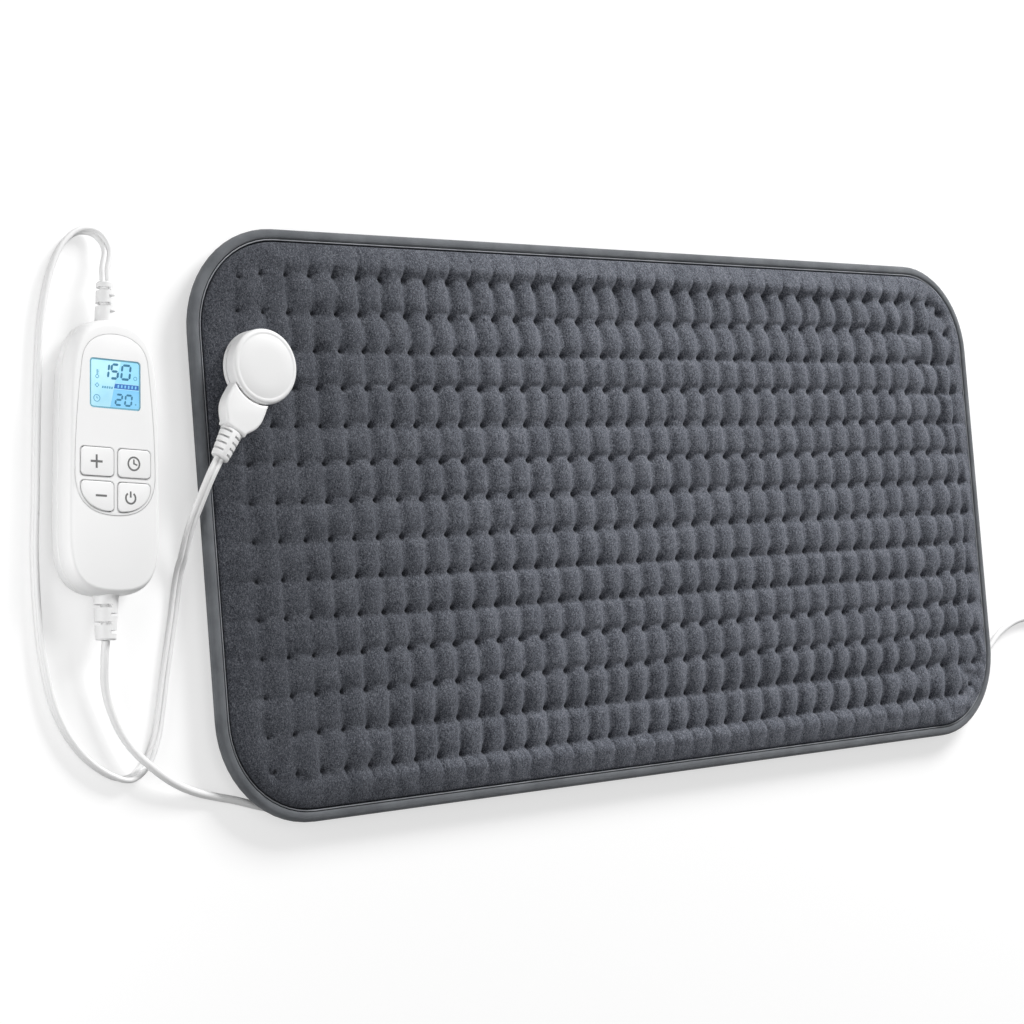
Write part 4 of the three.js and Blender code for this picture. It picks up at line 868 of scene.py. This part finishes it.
def stitch(verts, holes):
    """Draws the cloth down at each tuft, and returns how much painted shade each point gets near the tufts.
    """
    pit_shades = np.zeros(len(verts))
    for x, y in holes:
        near = np.nonzero((abs(verts[:, 0] - x) < FUNNEL_REACH) & (abs(verts[:, 1] - y) < FUNNEL_REACH))[0]
        reach = np.hypot(verts[near, 0] - x, verts[near, 1] - y)
        strength = tuft_strength(x)
        pull = LEAST_DIMPLE + (1 - LEAST_DIMPLE) * strength
        dimple = DIMPLE_DEPTH * pull * np.exp(-(reach / DIMPLE_RADIUS) ** 2)
        funnel = FUNNEL_DEPTH * strength * np.exp(-(reach / FUNNEL_RADIUS) ** 2)
        verts[near, 2] -= dimple + funnel
        # Painted shade, darkest in the middle of each dimple
        shade = (LEAST_PIT_SHADE + PIT_SHADE_GAIN * strength) * np.exp(-(reach / PIT_SHADE_RADIUS) ** 2)
        pit_shades[near] = np.maximum(pit_shades[near], shade)
    return pit_shades


def add_quilt():
    cloth = quilt_cloth()
    verts, faces, edge, count = cloth.verts, cloth.faces, cloth.edge, cloth.grid_count
    flat = verts
    verts = swell(verts, faces, cloth.sewn)
    share = tuft_strength(flat[count:, 0]) * np.repeat(BAND_SWELL, len(edge))
    verts[count:] = flat[count:] + (verts[count:] - flat[count:]) * share[:, None]
    verts[:, 2] -= cloth.creases * tuft_strength(verts[:, 0])
    strength = tuft_strength(verts[:count, 0])
    verts[:count, 2] += (1 - strength) * np.maximum(FILLED_HEIGHT - verts[:count, 2], 0)
    holes = verts[cloth.tufts, :2]
    holes = holes[np.hypot(holes[:, 0] - DISC.x, holes[:, 1] - DISC.y) > SEAT_RADIUS + 1]
    verts, faces = subdivided(verts, faces)
    edge = open_edge(faces)
    pit_shades = stitch(verts, holes)
    verts = [tuple(v) for v in verts]
    for height in SKIRT_HEIGHTS:
        new = list(range(len(verts), len(verts) + len(edge)))
        verts += [(verts[i][0], verts[i][1], height) for i in edge]
        faces += band_between(edge, new)
        edge = new
    faces.append(tuple(reversed(edge)))
    piece = add_piece("quilted_front", (verts, faces), "plush", stands_for="front_cover", sharp=70.0)
    # Marks of painted shade in the tuft dimples, for the plush material
    marks = piece.data.attributes.new("pit_shade", "FLOAT", "POINT")
    marks.data.foreach_set("value", np.concatenate([pit_shades, np.zeros(len(verts) - len(pit_shades))]))


# Sections of the back and of the binding: how far a point is drawn in from the pad's outline, and its height
BACK_SECTION = [
    (26, 0), (21, 0.25), (16.5, 0.9), (12.5, 2.2), (9.6, 4.0), (8.0, 5.8), (6.5, 6.6), (5.0, 7.2), (5.0, 7.9),
]
BINDING_SECTION = [
    (2.4, 5.0), (1.2, 5.35), (0.4, 6.2), (0.0, 7.3), (0.0, 8.7), (0.3, 9.8), (1.0, 10.7), (2.0, 11.1),
    (3.2, 11.2), (4.2, 11.1), (4.8, 10.7), (5.0, 10.0), (5.0, 9.0), (2.0, 8.9), (2.0, 7.1), (7.2, 7.0),
    (7.2, 5.9), (6.4, 5.2), (5.2, 5.0),
]
# A thin raised lip in the binding's groove, lighter in colour as a painted highlight: its inset, height and
# radius
SEAM_LIP_INSET, SEAM_LIP_HEIGHT, SEAM_LIP_RADIUS = 5.75, 10.3, 0.32


def add_back():
    back = loft([pad_ring(*point) for point in BACK_SECTION])
    piece = add_piece("soft_back", back, "back_cloth", stands_for="rear_cover", sharp=60.0)


def add_binding():
    """Tape folded over the edge, with its seam in a groove inside it."""
    tape = loft([pad_ring(*point) for point in BINDING_SECTION], looped=True)
    piece = add_piece("bound_edge", tape, "binding_cloth", stands_for="edge_binding", sharp=60.0)
    # Raised lip in the seam's groove, coloured lighter as a painted highlight
    around = ellipse(-SEAM_LIP_RADIUS, SEAM_LIP_RADIUS, 6, SEAM_LIP_INSET, SEAM_LIP_HEIGHT)
    seam_lip = loft([pad_ring(*point) for point in around], looped=True)
    add_piece("seam_lip_highlight", seam_lip, "binding_cloth", "seam_lip_highlight", sharp=80.0)


add_quilt()
add_back()
add_binding()


# Connector on the pad: profiles as radius and height about its own axis, and its plug along that frame's X
DISC_RADIUS, DISC_STEPS, ROUND_STEPS = 19.0, 96, 6
FOOT_PROFILE = [
    (0, 8.2), (9, 8.2), (9, 14.5), (18.0, 14.5), (18.6, 14.7), (18.95, 15.2), (DISC_RADIUS, 15.8),
    (DISC_RADIUS, 17.6), (0, 17.6),
]
CAP_SIDE = [(0, 17.9), (18.7, 17.9), (DISC_RADIUS, 18.3)]
CAP_SHOULDER, CAP_ROUND, CAP_RISE = 23.3, 1.9, 2.1
CAP_FACE = [(16.7, 25.42), (16.3, 25.28), (15.9, 25.3), (15.3, 25.52), (9.0, 25.88), (4.0, 26.0), (0, 26.0)]
SOCKET = (4.8, 40), (-6.6, 6.6), (10, 23.8)
# The plug's grip: a hollow front around the disc, then curves, each as two pulls, an end and its steps
GRIP_HALF, GRIP_FRONT, GRIP_THICKNESS, GRIP_BEVEL = 11.0, 19.6, 8.0, 1.5
GRIP_CURVES = [
    ((24.0, -11.8), (25.5, -11.7), (27.0, -11.4), 8), ((31.5, -10.6), (33.6, -8.2), (35.2, -7.2), 10),
]
GRIP_TAIL, FRONT_STEPS = [(35.6, -6.75), (GRIP_END, -6.5)], 20
# The plug's strain relief: reach, width and height of each section, and slots from both sides in turn
RELIEF_SECTIONS = (
    (GRIP_END + SEAT_GAP, 12.0, 7.4), (38.2, 12.4, 7.6), (52.6, 9.8, 6.8), (PLUG_RELIEF_END, 9.2, 6.2),
)
RELIEF_STEPS = 40
PLUG_SLOTS, SLOT_START, SLOT_PITCH, SLOT_FIRST, SLOT_STAGGER = 4, 38.1, 3.45, 0.55, 0.16
SLOT_HALF, SLOT_WEB, SLOT_CLEAR, SLOT_LEVELS = 0.55, 1.2, 12.0, (10, 40)


def add_connector():
    foot = revolve(FOOT_PROFILE, DISC_STEPS)
    add_piece("connector_foot", foot, "white_plastic", at=CONNECTOR, stands_for="connector_base")
    shoulder = [
        (DISC_RADIUS - CAP_ROUND * (1 - cos(angle)), CAP_SHOULDER + CAP_RISE * sin(angle))
        for angle in quarter_turn(ROUND_STEPS)
    ]
    cap = revolve(CAP_SIDE + shoulder + CAP_FACE, DISC_STEPS)
    piece = add_piece(
        "connector_dome", cap, "white_plastic", "disc_plastic", at=CONNECTOR, stands_for="connector_cap",
    )
    cut(piece, [block(*SOCKET)], CONNECTOR)


def grip_outline():
    angle = asin(GRIP_HALF / GRIP_FRONT)
    start, right = (GRIP_FRONT * cos(angle), -GRIP_HALF), []
    for c1, c2, end, steps in GRIP_CURVES:
        right += bezier(start, c1, c2, end, steps)
        start = end
    right += GRIP_TAIL
    left = [(x, -y) for x, y in reversed(right)]
    turns = [angle - 2 * angle * i / FRONT_STEPS for i in range(1, FRONT_STEPS)]
    return right + left + [(GRIP_FRONT * cos(turn), GRIP_FRONT * sin(turn)) for turn in turns]


def add_plug():
    low, high = PLUG_AXIS - GRIP_THICKNESS / 2, PLUG_AXIS + GRIP_THICKNESS / 2
    grip = pillow(grip_outline(), low, high, GRIP_BEVEL, steps=5)
    add_piece("plug_handle", grip, "white_plastic", body=PLUG_BODY, at=CONNECTOR, stands_for="plug_grip")
    rings = []
    for reach, width, height in RELIEF_SECTIONS:
        section = ellipse(width / 2, height / 2, RELIEF_STEPS, 0.0, PLUG_AXIS)
        rings.append([(reach, y, z) for y, z in section])
    piece = add_piece(
        "plug_relief", loft(rings), "white_rubber", body=PLUG_BODY, at=CONNECTOR,
        stands_for="plug_strain_relief",
    )
    slots = []
    for slot in range(PLUG_SLOTS):
        for side in (-1, 1):
            reach = SLOT_START + SLOT_PITCH * (slot + SLOT_FIRST + side * SLOT_STAGGER)
            across = sorted((side * SLOT_WEB, side * SLOT_CLEAR))
            slots.append(block((reach - SLOT_HALF, reach + SLOT_HALF), across, SLOT_LEVELS))
    cut(piece, slots, CONNECTOR)


add_connector()
add_plug()


# Controller
CASE = Pear(
    bottom=-CASE_HALF, belly=26.0, belly_y=-36.0, neck=25.15, neck_y=26.0, top=CASE_HALF, foot=18.2,
    foot_rise=6.0, crown=16.599, crown_drop=10.0,
)
PANEL = Pear(
    bottom=-28.1, belly=21.7, belly_y=-8.0, neck=18.0, neck_y=44.0, top=58.4, foot=13.454, foot_rise=5.6,
    crown=9.36, crown_drop=4.4,
)
FACE, CEILING, CASE_WALL = 18.0, 14.3, 2.0
LOWER_EDGE, LOWER_EDGE_HEIGHT, UPPER_EDGE, UPPER_EDGE_HEIGHT = 6.0, 5.0, 3.4, 7.0
EDGE_STEPS = 8
PARTING_GAP, PARTING_LIP = 0.15, 0.25
PANEL_LOW, PANEL_TOP, PANEL_GAP, PANEL_LEDGE, PANEL_BEVEL = 16.6, 18.2, 0.3, 0.7, 0.25
RIM_BEVEL, CEILING_INSET, WALL_TOP = 0.2, 4.6, 11.0
SCREWS = [(20.2, 14.0), (-20.2, 14.0), (17.0, -52.0), (-17.0, -52.0)]
SINK_RADIUS, SINK_DEPTH, SINK_STEPS = 2.9, 3.5, 32


def on_case(name, solid, finish=None, slot="white_plastic", **more):
    return add_piece(name, solid, slot, finish, at=CONTROLLER, **more)


def case_ring(drawn_in, height):
    return at_height(pear(CASE, drawn_in), height)


def panel_ring(drawn_in, height):
    return at_height(pear(PANEL, drawn_in), height)


def case_edge(edge, edge_height, flat, up):
    """Rings of a rounded edge, from the case's side to its flat."""
    return [
        case_ring(edge * (1 - cos(angle)), flat - up * edge_height * (1 - sin(angle)))
        for angle in quarter_turn(EDGE_STEPS)
    ]


def add_case():
    below, above = PARTING - PARTING_GAP, PARTING + PARTING_GAP
    lower = case_edge(LOWER_EDGE, LOWER_EDGE_HEIGHT, 0.0, -1)[::-1] + [
        case_ring(0, below - PARTING_LIP), case_ring(PARTING_LIP, below), case_ring(CASE_WALL, below),
        case_ring(CASE_WALL, LOWER_EDGE_HEIGHT), case_ring(LOWER_EDGE, CASE_WALL),
    ]
    piece = on_case("case_back", loft(lower), stands_for="controller_lower_shell")
    sink = revolve([(0, -1), (SINK_RADIUS, -1), (SINK_RADIUS, SINK_DEPTH), (0, SINK_DEPTH)], SINK_STEPS)
    cut(piece, [moved(sink, Matrix.Translation((x, y, 0))) for x, y in SCREWS], CONTROLLER)
    ledge = PANEL_LOW - SEAT_GAP
    upper = [case_ring(PARTING_LIP, above), case_ring(0, above + PARTING_LIP)]
    upper += case_edge(UPPER_EDGE, UPPER_EDGE_HEIGHT, FACE, 1)
    upper += [
        panel_ring(-PANEL_GAP - RIM_BEVEL, FACE), panel_ring(-PANEL_GAP, FACE - RIM_BEVEL),
        panel_ring(-PANEL_GAP, ledge), panel_ring(PANEL_LEDGE, ledge), panel_ring(PANEL_LEDGE, CEILING),
        case_ring(CEILING_INSET, CEILING), case_ring(CASE_WALL, WALL_TOP), case_ring(CASE_WALL, above),
    ]
    on_case("case_front", loft(upper, looped=True), stands_for="controller_upper_shell")


DISPLAY_WIDTH, DISPLAY_HEIGHT, DISPLAY_Y, DISPLAY_ROUND = 27.9, 23.8, 34.5, 1.8
BUTTON_WIDTH, BUTTON_SPACING, BUTTON_ROUND, SWEEP_FOOT, SWEEP_SIDE = 18.2, 20.1, 2.2, 6.05, 8.25
UPPER_HEIGHT, LOWER_HEIGHT, UPPER_Y, LOWER_Y = 14.2, 14.7, -3.0, -19.3
BUTTON_LOW, BUTTON_TOP, BUTTON_GAP, BUTTON_BEVEL = 14.8, 18.8, 0.35, 0.45
# Sink of the printed icons and of the grey rings of painted gap shade; rise of those rings and of the icons;
# the rings' reach past the button openings and width
PRINT_AND_SHADE_SINK, LINE_RISE, ICON_RISE, LINE_PAST, LINE_WIDTH = 0.05, 0.025, 0.04, 0.2, 0.42
# Grey ring of painted shade over the gap round the face panel: its reach past the panel, width, sink and rise
EDGE_LINE_PAST, EDGE_LINE_WIDTH, EDGE_LINE_SINK, EDGE_LINE_RISE = 0.35, 0.4, 0.1, 0.02
HOLE_LEVELS = (10, 30)
CORNER_PULL, CORNER_POINTS, SIDE_PULL, SIDE_POINTS, SWEEP_POINTS = 0.4, 6, 6.0, 4, 18
ARC_STEPS, RING_STEPS = 28, 36
BUTTONS = {"plus": (-1, True), "timer": (1, True), "minus": (-1, False), "power": (1, False)}


def corner(start, point, end):
    """A rounded corner between two places beside its point."""
    c1, c2 = ([p + CORNER_PULL * (q - p) for p, q in zip(point, place)] for place in (start, end))
    return bezier(start, c1, c2, end, CORNER_POINTS)


def button_outline(side, upper, drawn_in):
    width = BUTTON_WIDTH - 2 * drawn_in
    x = BUTTON_SPACING / 2
    if upper:
        return rounded_rect(width, UPPER_HEIGHT - 2 * drawn_in, BUTTON_ROUND, side * x, UPPER_Y)
    inner, outer = x - width / 2, x + width / 2
    low, high = LOWER_Y - LOWER_HEIGHT / 2 + drawn_in, LOWER_Y + LOWER_HEIGHT / 2 - drawn_in
    r = BUTTON_ROUND
    side_pulls = (inner, high - SIDE_PULL), (inner, low + SIDE_PULL)
    sweep_pulls = (outer - SWEEP_FOOT, low), (outer, high - SWEEP_SIDE)
    top_pulls = (outer - SIDE_PULL, high), (inner + SIDE_PULL, high)
    points = corner((inner + r, high), (inner, high), (inner, high - r))
    points += bezier((inner, high - r), *side_pulls, (inner, low + r), SIDE_POINTS)
    points += corner((inner, low + r), (inner, low), (inner + r, low))
    points += bezier((inner + r, low), *sweep_pulls, (outer, high - r), SWEEP_POINTS)
    points += corner((outer, high - r), (outer, high), (outer - r, high))
    points += bezier((outer - r, high), *top_pulls, (inner + r, high), SIDE_POINTS)
    return points if side > 0 else [(-px, py) for px, py in reversed(points)]


def arc_line(x, y, radius, width, start, end):
    """A bent stroke of even width, as an outline."""
    turns = [start + (end - start) * step / ARC_STEPS for step in range(ARC_STEPS + 1)]
    outer, inner = (
        [(x + (radius + off) * cos(turn), y + (radius + off) * sin(turn)) for turn in turns]
        for off in (width / 2, -width / 2)
    )
    return outer + inner[::-1]


def stroke(x0, y0, x1, y1, width):
    along = Vector((x1 - x0, y1 - y0)).normalized() * width / 2
    x, y = along.y, -along.x
    return [(x0 + x, y0 + y), (x1 + x, y1 + y), (x1 - x, y1 - y), (x0 - x, y0 - y)]


def ring_stroke(x, y, radius, width, low, high):
    return ring_line(ellipse(radius, radius, RING_STEPS, x, y), width, low, high)


# Icons from the middle of their buttons: strokes as both ends and width, and what is bent or crossed below
ICON_STROKES = {
    "plus": [],
    "minus": [(-1.1, 0.2, 4.9, 0.2, 1.0)],
    "timer": [(-0.4, -0.3, -0.4, 2.1, 0.75), (-0.1, -0.05, 1.5, -0.6, 0.7)],
    "power": [(-2.2, 0.1, -2.2, 3.0, 0.9)],
}
PLUS_X, PLUS_ARM, PLUS_HALF = -0.6, 3.2, 0.52
TIMER_X, TIMER_RADIUS, TIMER_WIDTH = -0.4, 3.1, 0.85
POWER_X, POWER_Y, POWER_RADIUS, POWER_WIDTH, POWER_ARC = -2.2, -0.2, 2.65, 0.9, (127, 413)


def icon_parts(name, x, y, low, high):
    outlines = [stroke(x + x0, y + y0, x + x1, y + y1, width) for x0, y0, x1, y1, width in ICON_STROKES[name]]
    if name == "plus":
        quarter = [(PLUS_ARM, -PLUS_HALF), (PLUS_ARM, PLUS_HALF), (PLUS_HALF, PLUS_HALF)]
        cross = []
        for _ in range(4):
            cross += [(x + PLUS_X + px, y + py) for px, py in quarter]
            quarter = [(-py, px) for px, py in quarter]
        outlines.append(cross)
    if name == "power":
        turns = [radians(turn) for turn in POWER_ARC]
        outlines.append(arc_line(x + POWER_X, y + POWER_Y, POWER_RADIUS, POWER_WIDTH, *turns))
    parts = [prism(outline, low, high) for outline in outlines]
    if name == "timer":
        parts.append(ring_stroke(x + TIMER_X, y, TIMER_RADIUS, TIMER_WIDTH, low, high))
    return parts


def add_face():
    panel = pillow(pear(PANEL, 0), PANEL_LOW, PANEL_TOP, PANEL_BEVEL, steps=3)
    piece = on_case("face_plate", panel, "panel_plastic", stands_for="face_panel")
    holes = [button_outline(side, upper, 0) for side, upper in BUTTONS.values()]
    window = rounded_rect(DISPLAY_WIDTH, DISPLAY_HEIGHT, DISPLAY_ROUND, 0, DISPLAY_Y)
    cut(piece, [prism(outline, *HOLE_LEVELS) for outline in [window] + holes], CONTROLLER)
    # Grey rings at the button openings: painted shade of the gaps round the buttons
    low, high = PANEL_TOP - PRINT_AND_SHADE_SINK, PANEL_TOP + LINE_RISE
    lines = [ring_line(inset(hole, -LINE_PAST), LINE_WIDTH, low, high) for hole in holes]
    on_case("button_gap_shade_lines", joined(lines), "button_gap_shade")
    # Grey ring over the gap round the face panel: painted shade of that gap
    low, high = FACE - EDGE_LINE_SINK, FACE + EDGE_LINE_RISE
    edge = ring_line(pear(PANEL, -EDGE_LINE_PAST), EDGE_LINE_WIDTH, low, high)
    on_case("panel_gap_shade_line", edge, "panel_gap_shade")
    for name, (side, upper) in BUTTONS.items():
        body = f"{name}_key"
        cap = pillow(button_outline(side, upper, BUTTON_GAP), BUTTON_LOW, BUTTON_TOP, BUTTON_BEVEL, steps=4)
        on_case(f"{name}_cap", cap, "panel_plastic", body=body, stands_for=f"{name}_button")
        x, y = side * BUTTON_SPACING / 2, UPPER_Y if upper else LOWER_Y
        icon = joined(icon_parts(name, x, y, BUTTON_TOP - PRINT_AND_SHADE_SINK, BUTTON_TOP + ICON_RISE))
        on_case(f"{name}_icon", icon, "printed_icon", body=body)


# Display artwork: places are parts of the display's width from its left and of its height from its top
DISPLAY_TOP, ART_MARGIN, GLASS_MARGIN, GLASS_ROUND, GLASS_BEVEL = 17.9, 0.6, 0.5, 1.7, 0.15
BORDER_INSET, BORDER_WIDTH = 0.3, 0.5
ART_LOW, AREA_TOP, BAR_TOP, STEP_TOP, INK_TOP = 17.88, 17.93, 17.94, 17.96, 17.97
SKY = [(0.50, 0.47), (0.98, 0.47), (0.98, 0.06), (0.93, 0.02), (0.62, 0.02)]
ZONE = [(0.40, 0.985), (0.94, 0.985), (0.985, 0.94), (0.985, 0.60), (0.475, 0.60)]
BAR = [(0.475, 0.585), (0.975, 0.585), (0.975, 0.485), (0.50, 0.485)]
# Rows of slanted steps: first place, pitch and count, then width, lean, low side and high side
BAR_STEPS = (0.545, 0.07, 6), (0.03, 0.006, 0.565, 0.505)
DASHES = (0.235, 0.046, 5), (0.03, 0.007, 0.60, 0.555)
# Top, height and stroke of the large and the small figures, then each figure's left side and width
LARGE, SMALL = (0.09, 0.29, 1.12), (0.705, 0.215, 0.95)
FIGURES = [
    ("1", 0.23, 0.14, LARGE), ("5", 0.425, 0.135, LARGE), ("0", 0.635, 0.165, LARGE),
    ("2", 0.515, 0.12, SMALL), ("0", 0.705, 0.125, SMALL),
]
FIGURE_LEAN, SEGMENT_GAP = 0.12, 0.18
SEGMENTS = {"0": "abcdef", "1": "bc", "2": "abged", "5": "afgcd"}
SEGMENT_ENDS = {
    "a": (0, 1, 1, 1), "b": (1, 1, 1, 0.5), "c": (1, 0.5, 1, 0), "d": (0, 0, 1, 0), "e": (0, 0.5, 0, 0),
    "f": (0, 1, 0, 0.5), "g": (0, 0.5, 1, 0.5),
}
CLOCK, BULB, DIAMOND = (0.134, 0.815), (0.142, 0.365), (0.14, 0.545)
DOT, DEGREE = (0.912, 0.885), (0.906, 0.345)
# Rings as place, radius and stroke; strokes as place, both ends from there and width
MARK_RINGS = [(DEGREE, 0.85, 0.3), (CLOCK, 1.65, 0.32), (BULB, 0.8, 0.34)]
MARK_STROKES = [
    (CLOCK, (0, -0.1), (0, 1.0), 0.28), (CLOCK, (0.14, 0), (0.75, 0), 0.28), (BULB, (0, 0.9), (0, 3.3), 0.5),
    *((BULB, (0.5, rise), (1.0, rise), 0.24) for rise in (1.5, 2.2, 2.9)),
]


def on_display(u, v):
    width, height = DISPLAY_WIDTH - ART_MARGIN, DISPLAY_HEIGHT - ART_MARGIN
    return (u - 0.5) * width, DISPLAY_Y + (0.5 - v) * height


def display_area(corners, top):
    return prism([on_display(u, v) for u, v in corners], ART_LOW, top)


def slanted_steps(row, shape, top):
    start, pitch, count = row
    width, lean, low, high = shape
    steps = []
    for i in range(count):
        u = start + i * pitch
        corners = [(u, low), (u + width, low), (u + width + lean, high), (u + lean, high)]
        steps.append(display_area(corners, top))
    return joined(steps)


def figure_parts(figure, left, width, size):
    """A seven-segment figure with a lean, from bevelled strokes."""
    top, height, thick = size
    x0, y0 = on_display(left, top)
    x1, y1 = on_display(left + width, top + height)
    tall, wide = y0 - y1, x1 - x0
    parts = []
    for segment in SEGMENTS[figure]:
        ax, ay, bx, by = SEGMENT_ENDS[segment]
        a, b = Vector((ax * wide, ay * tall)), Vector((bx * wide, by * tall))
        along = (b - a).normalized()
        side = Vector((-along.y, along.x)) * thick / 2
        a, b = a + along * thick * SEGMENT_GAP, b - along * thick * SEGMENT_GAP
        shoulder = along * thick / 2
        outline = [a, a + shoulder - side, b - shoulder - side, b, b - shoulder + side, a + shoulder + side]
        leant = [(x0 + p.x + (p.y - tall / 2) * FIGURE_LEAN, y1 + p.y) for p in outline]
        parts.append(prism(leant, ART_LOW, INK_TOP))
    return parts


def display_marks():
    marks = []
    for place, radius, width in MARK_RINGS:
        marks.append(ring_stroke(*on_display(*place), radius, width, ART_LOW, INK_TOP))
    for place, start, end, width in MARK_STROKES:
        x, y = on_display(*place)
        line = stroke(x + start[0], y + start[1], x + end[0], y + end[1], width)
        marks.append(prism(line, ART_LOW, INK_TOP))
    x, y = on_display(*DIAMOND)
    marks.append(ring_line(ellipse(1.0, 1.0, 4, x, y), 0.32, ART_LOW, INK_TOP))
    marks.append(prism(rounded_rect(0.9, 0.9, 0.4, *on_display(*DOT)), ART_LOW, INK_TOP))
    return joined(marks)


def add_display():
    width, height = DISPLAY_WIDTH - GLASS_MARGIN, DISPLAY_HEIGHT - GLASS_MARGIN
    shape = rounded_rect(width, height, GLASS_ROUND, 0, DISPLAY_Y)
    glass = pillow(shape, PANEL_LOW, DISPLAY_TOP, GLASS_BEVEL, steps=2)
    on_case("display_face", glass, slot="clear_window", stands_for="display_window", sharp=50.0)
    border = ring_line(inset(shape, BORDER_INSET), BORDER_WIDTH, ART_LOW, STEP_TOP)
    figures = joined([part for row in FIGURES for part in figure_parts(*row)])
    artwork = [
        ("border", border, "lcd_edge"), ("sky", display_area(SKY, AREA_TOP), "lcd_sky"),
        ("zone", display_area(ZONE, AREA_TOP), "lcd_zone"), ("bar", display_area(BAR, BAR_TOP), "lcd_bar"),
        ("bar_steps", slanted_steps(*BAR_STEPS, STEP_TOP), "lcd_zone"), ("figures", figures, "lcd_ink"),
        ("marks", display_marks(), "lcd_faint"), ("dashes", slanted_steps(*DASHES, INK_TOP), "lcd_faint"),
    ]
    for name, solid, finish in artwork:
        on_case(f"display_{name}", solid, finish, "display_glass")


CORE_RADIUS, CORE_STEPS, RELIEF_ROOT = 2.6, 24, CASE_HALF - 4.0
CASE_SLOTS, CASE_SLOT_FIRST, CASE_SLOT_HALF, CASE_SLOT_PAST = 4, 1.1, 0.8, 0.4
CASE_SLOT_CLEAR, CASE_SLOT_LEVELS = 20.0, (0, 30)


def add_relief(name, node, length, root, tip, direction):
    """Tapered strain relief on the case's end, with slots from alternate sides."""
    end = CASE_HALF + length
    profile = [
        (0, RELIEF_ROOT), (root - 0.2, RELIEF_ROOT), (root + 0.5, CASE_HALF - 1),
        (root + 0.15, CASE_HALF + 0.4), (root, CASE_HALF + 1.2), (tip, end - 0.6), (tip - 0.5, end), (0, end),
    ]
    turn = Matrix.Translation((0, 0, PARTING)) @ Matrix.Rotation(-pi / 2, 4, "X")
    if direction < 0:
        turn = Matrix.Rotation(pi, 4, "Z") @ turn
    relief = moved(revolve(profile, RELIEF_STEPS), turn)
    piece = on_case(name, relief, slot="white_rubber", stands_for=node)
    cutters = []
    for slot in range(CASE_SLOTS):
        side = direction * (-1 if slot % 2 else 1)
        reach = CASE_HALF + length / (CASE_SLOTS + 1) * (slot + CASE_SLOT_FIRST)
        across = sorted((-side * CASE_SLOT_PAST, side * CASE_SLOT_CLEAR))
        along = sorted((direction * (reach - CASE_SLOT_HALF), direction * (reach + CASE_SLOT_HALF)))
        cutters.append(block(across, along, CASE_SLOT_LEVELS))
    cut(piece, cutters, CONTROLLER)
    core = [(0, RELIEF_ROOT), (CORE_RADIUS, RELIEF_ROOT), (CORE_RADIUS, end - 0.2), (0, end - 0.2)]
    on_case(f"{name}_core", moved(revolve(core, CORE_STEPS), turn), slot="white_rubber")


add_case()
add_face()
add_display()
add_relief("lead_relief", "lead_strain_relief", LEAD_RELIEF, 5.1, 4.3, 1)
add_relief("mains_relief", "mains_strain_relief", MAINS_RELIEF, 6.0, 5.1, -1)


# Floor and light, in metres and watts
FLOOR_REACH, FLOOR_LEVEL, FLOOR_GREY = 6.0, -0.0003, 0.5
FLOOR_GLOW, FLOOR_GLOW_REACH = (0.56, 0.86), (1.0, 3.5)
WORLD_LIGHT = 0.24


def floor_surface():
    """Grey that takes the shadow, under a glow that only the eye sees and that grows far away."""
    material = bpy.data.materials.new("floor_white")
    made = Shading(material)
    made.tree.nodes.clear()
    place = made.node("ShaderNodeTexCoord").outputs["Object"]
    away = made.node("ShaderNodeVectorMath", operation="LENGTH", Vector=place).outputs["Value"]
    level = made.span(away, FLOOR_GLOW_REACH, FLOOR_GLOW)
    glow = made.node("ShaderNodeEmission", Strength=made.calculate("MULTIPLY", level, made.seen_directly()))
    grey = made.node("ShaderNodeBsdfDiffuse", Color=(FLOOR_GREY, FLOOR_GREY, FLOOR_GREY, 1))
    both = made.node("ShaderNodeAddShader")
    for socket, shader in zip(both.inputs, (grey, glow)):
        made.put(socket, shader.outputs[0])
    made.node("ShaderNodeOutputMaterial", Surface=both.outputs[0])
    return material


def add_stage():
    mesh = bpy.data.meshes.new("floor")
    corners = [(x * FLOOR_REACH, y * FLOOR_REACH, FLOOR_LEVEL) for x, y in QUARTERS]
    mesh.from_pydata(corners, [], [(0, 1, 2, 3)])
    mesh.materials.append(floor_surface())
    link_piece("floor", mesh)
    world = bpy.data.worlds.new("studio")
    made = Shading(world)
    level = made.span(made.seen_directly(), results=(WORLD_LIGHT, 1.0))
    made.fill(made.tree.nodes["Background"], Color=(1, 1, 1, 1), Strength=level)
    scene.world = world


def add_lamp(name, place, target, size, watts):
    data = bpy.data.lights.new(name, "AREA")
    data.shape = "RECTANGLE"
    data.size, data.size_y = size
    data.energy = watts
    lamp = link_piece(name, data)
    lamp.location = place
    lamp.rotation_euler = (Vector(target) - Vector(place)).to_track_quat("-Z", "Y").to_euler()


add_stage()
add_lamp("key_light", (1.15, 1.55, 1.05), (0, 0, 0), (1.0, 0.7), 63)
add_lamp("side_fill", (-0.72, 0.0, 0.14), (-0.37, 0.02, 0.01), (0.4, 0.14), 1.0)
add_lamp("top_light", (-0.3, 0.2, 2.4), (0, 0, 0), (1.6, 1.6), 7)

scene.view_settings.view_transform = "Standard"

print("pad lead", round(pad_lead_length, 1), "mm, mains lead", round(mains_length, 1), "mm")
